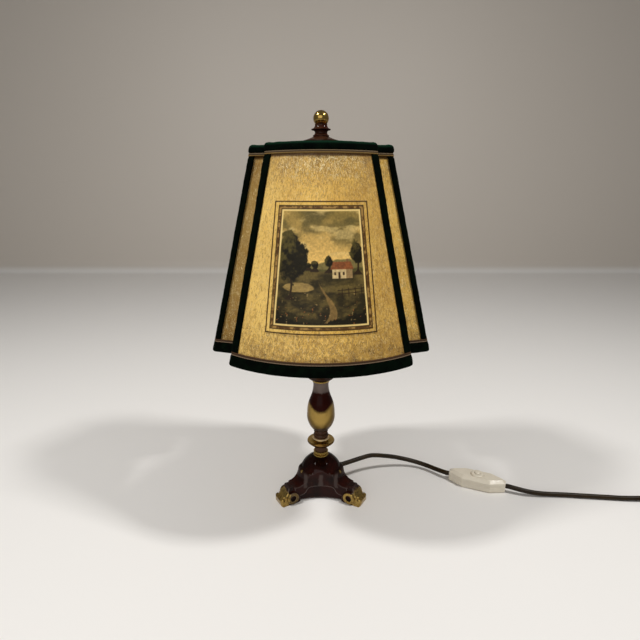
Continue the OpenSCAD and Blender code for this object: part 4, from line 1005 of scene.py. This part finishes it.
def country_view(s, t):
    """The painting in 0-255 sRGB; s goes from left to right and t from bottom to top, both 0 to 1."""
    paint = land(sky(s, t), s, t)
    for foot, height, spread, seed in (((0.93, 0.44), 0.3, 0.09, 121), ((0.59, 0.46), 0.16, 0.05, 131),
                                       ((0.42, 0.47), 0.1, 0.05, 141), ((0.34, 0.48), 0.07, 0.04, 151)):
        paint = tree(paint, s, t, foot, height, spread, seed)
    paint = cottage(paint, s, t)
    paint = tree(paint, s, t, (0.14, 0.22), 0.62, 0.2, 161)
    paint = foreground(paint, s, t)
    grain = 0.84 + 0.32 * fractal(s * 60, t * 75, 171, 3)
    return paint * grain[..., None]


def within(edge, end):
    """1 where the way in from the sheet's edge is less than end."""
    return smooth(edge, end + LINE_SOFT, end - LINE_SOFT)


def framed_print(u, v):
    """Colours of the sheet and where it is bare; u runs from -1 to 1 across it, v from 0 to 1 up it."""
    half = between(PRINT_HALF_LOW, PRINT_HALF_TOP, v)
    edge = np.minimum(half * (1 - np.abs(u)), PRINT_H * np.minimum(v, 1 - v))
    s = (u * half / (half - CREAM_END) + 1) / 2
    t = (v * PRINT_H - CREAM_END) / (PRINT_H - 2 * CREAM_END)
    paint = country_view(s, t)
    paint = lay(paint, FRAME_CREAM, within(edge, CREAM_END))
    veins = fractal(u * half * 0.36, v * PRINT_H * 0.36, 181)
    band = between(BAND_DARK, BAND_LIGHT, smooth(veins, 0.32, 0.66)[..., None])
    band = lay(band, BAND_VEIN, smooth(np.abs(veins - 0.52), 0.03, 0.0))
    rims = smooth(np.minimum(edge - MARGIN_END, BAND_END - edge), 0.9, 0.4)
    paint = lay(paint, lay(band, BAND_RIM, rims), within(edge, BAND_END))
    bare = within(edge, MARGIN_END) * (1 - within(edge, LINE_END))
    return lay(paint, FRAME_LINE, within(edge, LINE_END)), bare


def bow_point(x, z, out):
    """A point on the front panel's bow, so far beyond the parchment's face, in metres."""
    t = up_share(z)
    k = between(1, TOP_RATIO, t)
    half = between(PANEL_HALF, PANEL_TOP_HALF, t)
    bow = PANEL_BOW * k
    r = (half * half + bow * bow) / (2 * bow)
    depth = math.sqrt(r * r - x * x)
    grow = (r + out) / r
    return Vector((x * grow, -(PANEL_Y * k + bow - r) - depth * grow, z)) * MM


def add_picture():
    across = np.linspace(-1, 1, round(2 * PRINT_HALF_LOW / PRINT_STEP))
    up = np.linspace(0, 1, round(PRINT_H / PRINT_STEP))
    paint, bare = framed_print(across[:, None] + 0 * up, 0 * across[:, None] + up)
    loops = []
    for u in across:
        face = []
        for v in up:
            z = PRINT_LOW + PRINT_H * v
            x = u * between(PRINT_HALF_LOW, PRINT_HALF_TOP, v)
            lift = ripple(bow_point(x, z, 0), 15, 0.1)
            face.append(bow_point(x, z, PRINT_BACK + PRINT_T + lift))
        back = [bow_point(u * PRINT_HALF_TOP, PRINT_LOW + PRINT_H, PRINT_BACK),
                bow_point(u * PRINT_HALF_LOW, PRINT_LOW, PRINT_BACK)]
        loops.append(face + back)
    made = shade_skin("picture_sheet", loops, picture_shader(), "picture_front")
    columns = np.ones((len(across), len(up) + len(back), 4))
    columns[:, :len(up), :3] = linear(np.clip(paint, 0, 255))
    margin = np.zeros(columns.shape[:2])
    margin[:, :len(up)] = bare
    painted = made.data.color_attributes.new("paint", "FLOAT_COLOR", "POINT")
    painted.data.foreach_set("color", columns.ravel())
    made.data.attributes.new("bare", "FLOAT", "POINT").data.foreach_set("value", margin.ravel())


add_picture()


# Stand: rounded casting, turned stem, finial, switch and plug; voxels in millimetres, places of wear and of
# painted light in metres

CAST_VOXEL = 0.5
LEG_ANGLES = (90, 210, 330)
SCROLL_WEAR = (0.8, 0.35, 1.0)
TOE_START = 0.0435
FOOT_TOP = 0.022
SCROLL_AT = (0.040, 0.007)
SCROLL_R = 0.0068
EYE_R = 0.0033
SCROLL_FACE = 0.0097
SHOULDER_AT = (0.0245, 0.0, 0.0298)
# Where the painted reflection streaks run down the casting's walls
STREAK_TOP = (0.0315, 0.029)
STREAK_FOOT = (0.0145, 0.017)
STREAK_SIDE = 0.0165
SAUCER_FOOT = 0.0624
SAUCER_RIM = 0.0647
BALUSTER_BROWN = (0.0985, 0.1035)
BALUSTER_NECK = (0.1195, 0.1225)
BALUSTER_FOOT = (0.0825, 0.0795)
BROWN_CURVE = 47.0
# Where the painted bright band runs down the middle of the baluster's gold
GLINT_X = -0.001
GLINT_Z = (0.080, 0.099)


def leg_ways(s, angle):
    """How far a point lies along a leg from the stem's axis, and across it to either side."""
    c, n = math.cos(math.radians(angle)), math.sin(math.radians(angle))
    x, y = s.axis("X"), s.axis("Y")
    return s.plus(s.times(x, c), s.times(y, n)), s.absolute(s.minus(s.times(y, c), s.times(x, n)))


def worn_feet(s):
    """Brass shows on the toes, on the scrolls and at small rubbed spots on the shoulders."""
    z = s.axis("Z")
    masks = []
    for angle, wear in zip(LEG_ANGLES, SCROLL_WEAR):
        along, across = leg_ways(s, angle)
        toe = s.times(s.remap(s.wander(along, 7, 0.003), TOE_START, TOE_START + 0.002),
                      s.remap(z, FOOT_TOP + 0.001, FOOT_TOP - 0.001))
        from_eye = s.distance(s.minus(along, SCROLL_AT[0]), s.minus(z, SCROLL_AT[1]))
        on_face = s.remap(across, SCROLL_FACE, SCROLL_FACE + 0.0006)
        ring = s.times(s.remap(s.wander(from_eye, 6, 0.002), SCROLL_R + 0.001, SCROLL_R), wear,
                       s.remap(from_eye, EYE_R - 0.0006, EYE_R), on_face)
        from_spot = s.distance(*(s.minus(value, at) for value, at in zip((along, across, z), SHOULDER_AT)))
        spot = s.times(s.remap(s.wander(from_spot, 3, 0.001), 0.0022, 0.0010), 0.8)
        masks += [toe, ring, spot]
    return s.most(*masks)


def cast_sheen(s):
    """Painted highlights along the casting's edges, strongest low down, and painted reflections in streaks
    down the walls between the legs.
    """
    z = s.axis("Z")
    masks = [s.times(s.remap(s.attribute("edge"), 0.008, 0.05), s.remap(z, 0.0165, 0.0185, 0.55, 0.12))]
    on_wall = s.times(s.remap(z, *STREAK_TOP), s.remap(z, *STREAK_FOOT), 0.35)
    for angle in LEG_ANGLES:
        along, across = leg_ways(s, angle)
        across = s.wander(across, 8, 0.002)
        middle = s.remap(across, 0.0034, 0.0012)
        beside = s.remap(s.absolute(s.minus(across, STREAK_SIDE)), 0.003, 0.001)
        masks.append(s.times(s.most(middle, beside), on_wall, s.remap(along, -0.008, -0.011)))
    return s.most(*masks)


def baluster_shader():
    """Gold in the belly with painted shade at its sides, darker towards the bottom; browned above, lowest at
    front and back; a painted grey reflection at both ends.
    """
    s = Shader("baluster_patina", Coat_Weight=0.06, Coat_Roughness=0.1, Specular_IOR_Level=0.03)
    height = s.wander(s.axis("Z"), 6, 0.0025)
    curve = s.times(s.axis("X"), s.axis("X"), BROWN_CURVE)
    brown = s.remap(s.minus(height, curve), *BALUSTER_BROWN)
    # Painted grey reflection at both ends of the baluster
    reflected_grey = s.most(s.remap(height, *BALUSTER_NECK), s.remap(height, *BALUSTER_FOOT))
    grime = s.remap(s.noise(5, 5, 0.6), 0.5, 0.8)
    # Painted shade: the gold darkens away from a bright band down its middle, and towards the bottom
    side = s.absolute(s.minus(s.axis("X"), GLINT_X))
    glint_half = s.remap(s.axis("Z"), *GLINT_Z, 0.0005, 0.0105)
    painted_shade = s.most(s.remap(s.minus(side, glint_half), -0.002, 0.005, 0.0, 0.85),
                    s.remap(height, 0.091, 0.081, 0.0, 0.7))
    colour = s.mix(brown, s.mix(s.most(s.times(grime, 0.35), painted_shade), BRASS, BRASS_DULL), LACQUER_WARM)
    s.set("Metallic", s.most(s.times(s.minus(1.0, brown), 0.95), s.times(reflected_grey, 0.7)))
    colour = s.mix(reflected_grey, colour, LACQUER_REFLECTION)
    return s.done(colour, s.mottled(6, 0.3, 0.42), s.bump(s.noise(7, 3), 0.06, 0.3))


# The casting's lacquer carries painted highlights and reflections in the reflection grey
cast_lacquer = lacquer_shader("cast_lacquer", cast_sheen, LACQUER_REFLECTION, worn_feet)
casting = soften("base_casting", CAST_VOXEL, passes=2, material=cast_lacquer)
mark_edges(casting, CAST_VOXEL, passes=5)
# Lighter bronze patches on the turned pieces, partly painted sheen and partly thin lacquer
lacquer = lacquer_shader("dark_lacquer", lambda s: s.mottled(9, 0.04, 0.16), BRONZE)
thin_and_sheen_lacquer = lacquer_shader("thin_and_sheen_lacquer", lambda s: s.mottled(9, 0.18, 0.38), BRONZE)
brass = brass_shader("polished_brass", 0.3)
# The saucer has a painted brown reflection on its lower part and a painted pale reflection on its top
saucer_brass = brass_shader("saucer_brass", 0.45, brown_reflection_to=SAUCER_FOOT, matt_pale_from=SAUCER_RIM)
aged_brass = brass_shader("aged_brass", 0.9)
steel = plain_shader("satin_steel", srgb(170, 170, 166), 0.34, metallic=1.0)
holder = plain_shader("holder_moulding", srgb(226, 221, 208), 0.35)
opal = plain_shader("opal_glass", srgb(246, 243, 234), 0.12, mottle=0.02)
ivory = plain_shader("ivory_plastic", srgb(228, 219, 200), 0.38, mottle=0.06)
rubber = plain_shader("cord_moulding", srgb(46, 33, 12), 0.45)
dress(lacquer, "flared_cup", "finial_cap", "finial_collar")
dress(thin_and_sheen_lacquer, "neck_spindle", "bead_rings")
dress(brass, "ring_collar", "gallery_ring", "finial_ball")
dress(saucer_brass, "saucer_disc")
dress(aged_brass, "harp_saddle", "harp_ferrules", "harp_bail", "harp_stud", "holder_contact", "plug_pins")
dress(baluster_shader(), "baluster")
dress(steel, "threaded_tube", "base_washer", "base_nut", "shade_spider", "shade_top_ring",
      "shade_bottom_ring", "shade_ribs", "bulb_cap", "switch_screws", "button_spring")
dress(holder, "holder_cap", "holder_barrel")
dress(opal, "bulb_glass")
dress(ivory, "switch_bezel", "switch_button")
dress(rubber, "cord_bush", "plug_relief", "inner_wires", "coil_tie")
shells = [soften(shell, voxel=0.35, passes=3, material=ivory)
          for shell in ("switch_lower_shell", "switch_upper_shell")]
plug = soften("plug_body", voxel=0.5, passes=5, material=rubber)


# Stage: a pale table that sweeps up into a plain wall, and soft light from above, in metres

WALL_Y = 1.52
SWEEP_R = 0.05
STAGE_W = 2.6
STAGE_FRONT = -1.6
WALL_H = 2.4
TABLE_PAINT = srgb(238, 236, 233)
WALL_PAINT = srgb(205, 197, 187)
LIGHT_COLOUR = (1.0, 0.985, 0.965)
LIGHT_AIM = Vector((0, 0, 0.15))
LAMP_SIZE = (0.13, 0.13)
ROOM_COLOUR = (1.0, 0.99, 0.975, 1)
ROOM_STRENGTH = 0.18


def add_stage():
    profile = [(STAGE_FRONT, 0.0), (WALL_Y - SWEEP_R, 0.0)]
    profile += [(WALL_Y - SWEEP_R + SWEEP_R * math.sin(a), SWEEP_R - SWEEP_R * math.cos(a))
                for a in np.linspace(0, math.pi / 2, 13)[1:]]
    profile.append((WALL_Y, WALL_H))
    points = [Vector((x, y, z)) for y, z in profile for x in (-STAGE_W, STAGE_W)]
    faces = [(2 * i, 2 * i + 1, 2 * i + 3, 2 * i + 2) for i in range(len(profile) - 1)]
    s = Shader("stage_paint", Roughness=0.5)
    height = s.remap(s.axis("Z"), 0.0, 0.03)
    s.set("Base Color", s.mix(height, TABLE_PAINT, WALL_PAINT))
    mesh_object("stage_floor", points, faces, s.material)


def area_light(name, at, size, watts):
    data = bpy.data.lights.new(name, "AREA")
    data.shape = "RECTANGLE"
    data.size, data.size_y = size
    data.energy = watts
    data.color = LIGHT_COLOUR
    light = bpy.data.objects.new(name, data)
    light.location = at
    light.rotation_euler = (LIGHT_AIM - Vector(at)).to_track_quat("-Z", "Y").to_euler()
    bpy.context.scene.collection.objects.link(light)


add_stage()
area_light("lamp_right", (0.66, -0.2, 1.2), LAMP_SIZE, watts=8.2)
area_light("lamp_left", (-0.66, -0.17, 1.2), LAMP_SIZE, watts=7.8)
area_light("room_front", (-0.45, -1.75, 0.9), (2.0, 1.2), watts=10)
world = bpy.data.worlds.new("soft_room")
world.use_nodes = True
background = world.node_tree.nodes["Background"].inputs
background["Color"].default_value = ROOM_COLOUR
background["Strength"].default_value = ROOM_STRENGTH
bpy.context.scene.world = world
bpy.context.scene.view_settings.view_transform = "Standard"
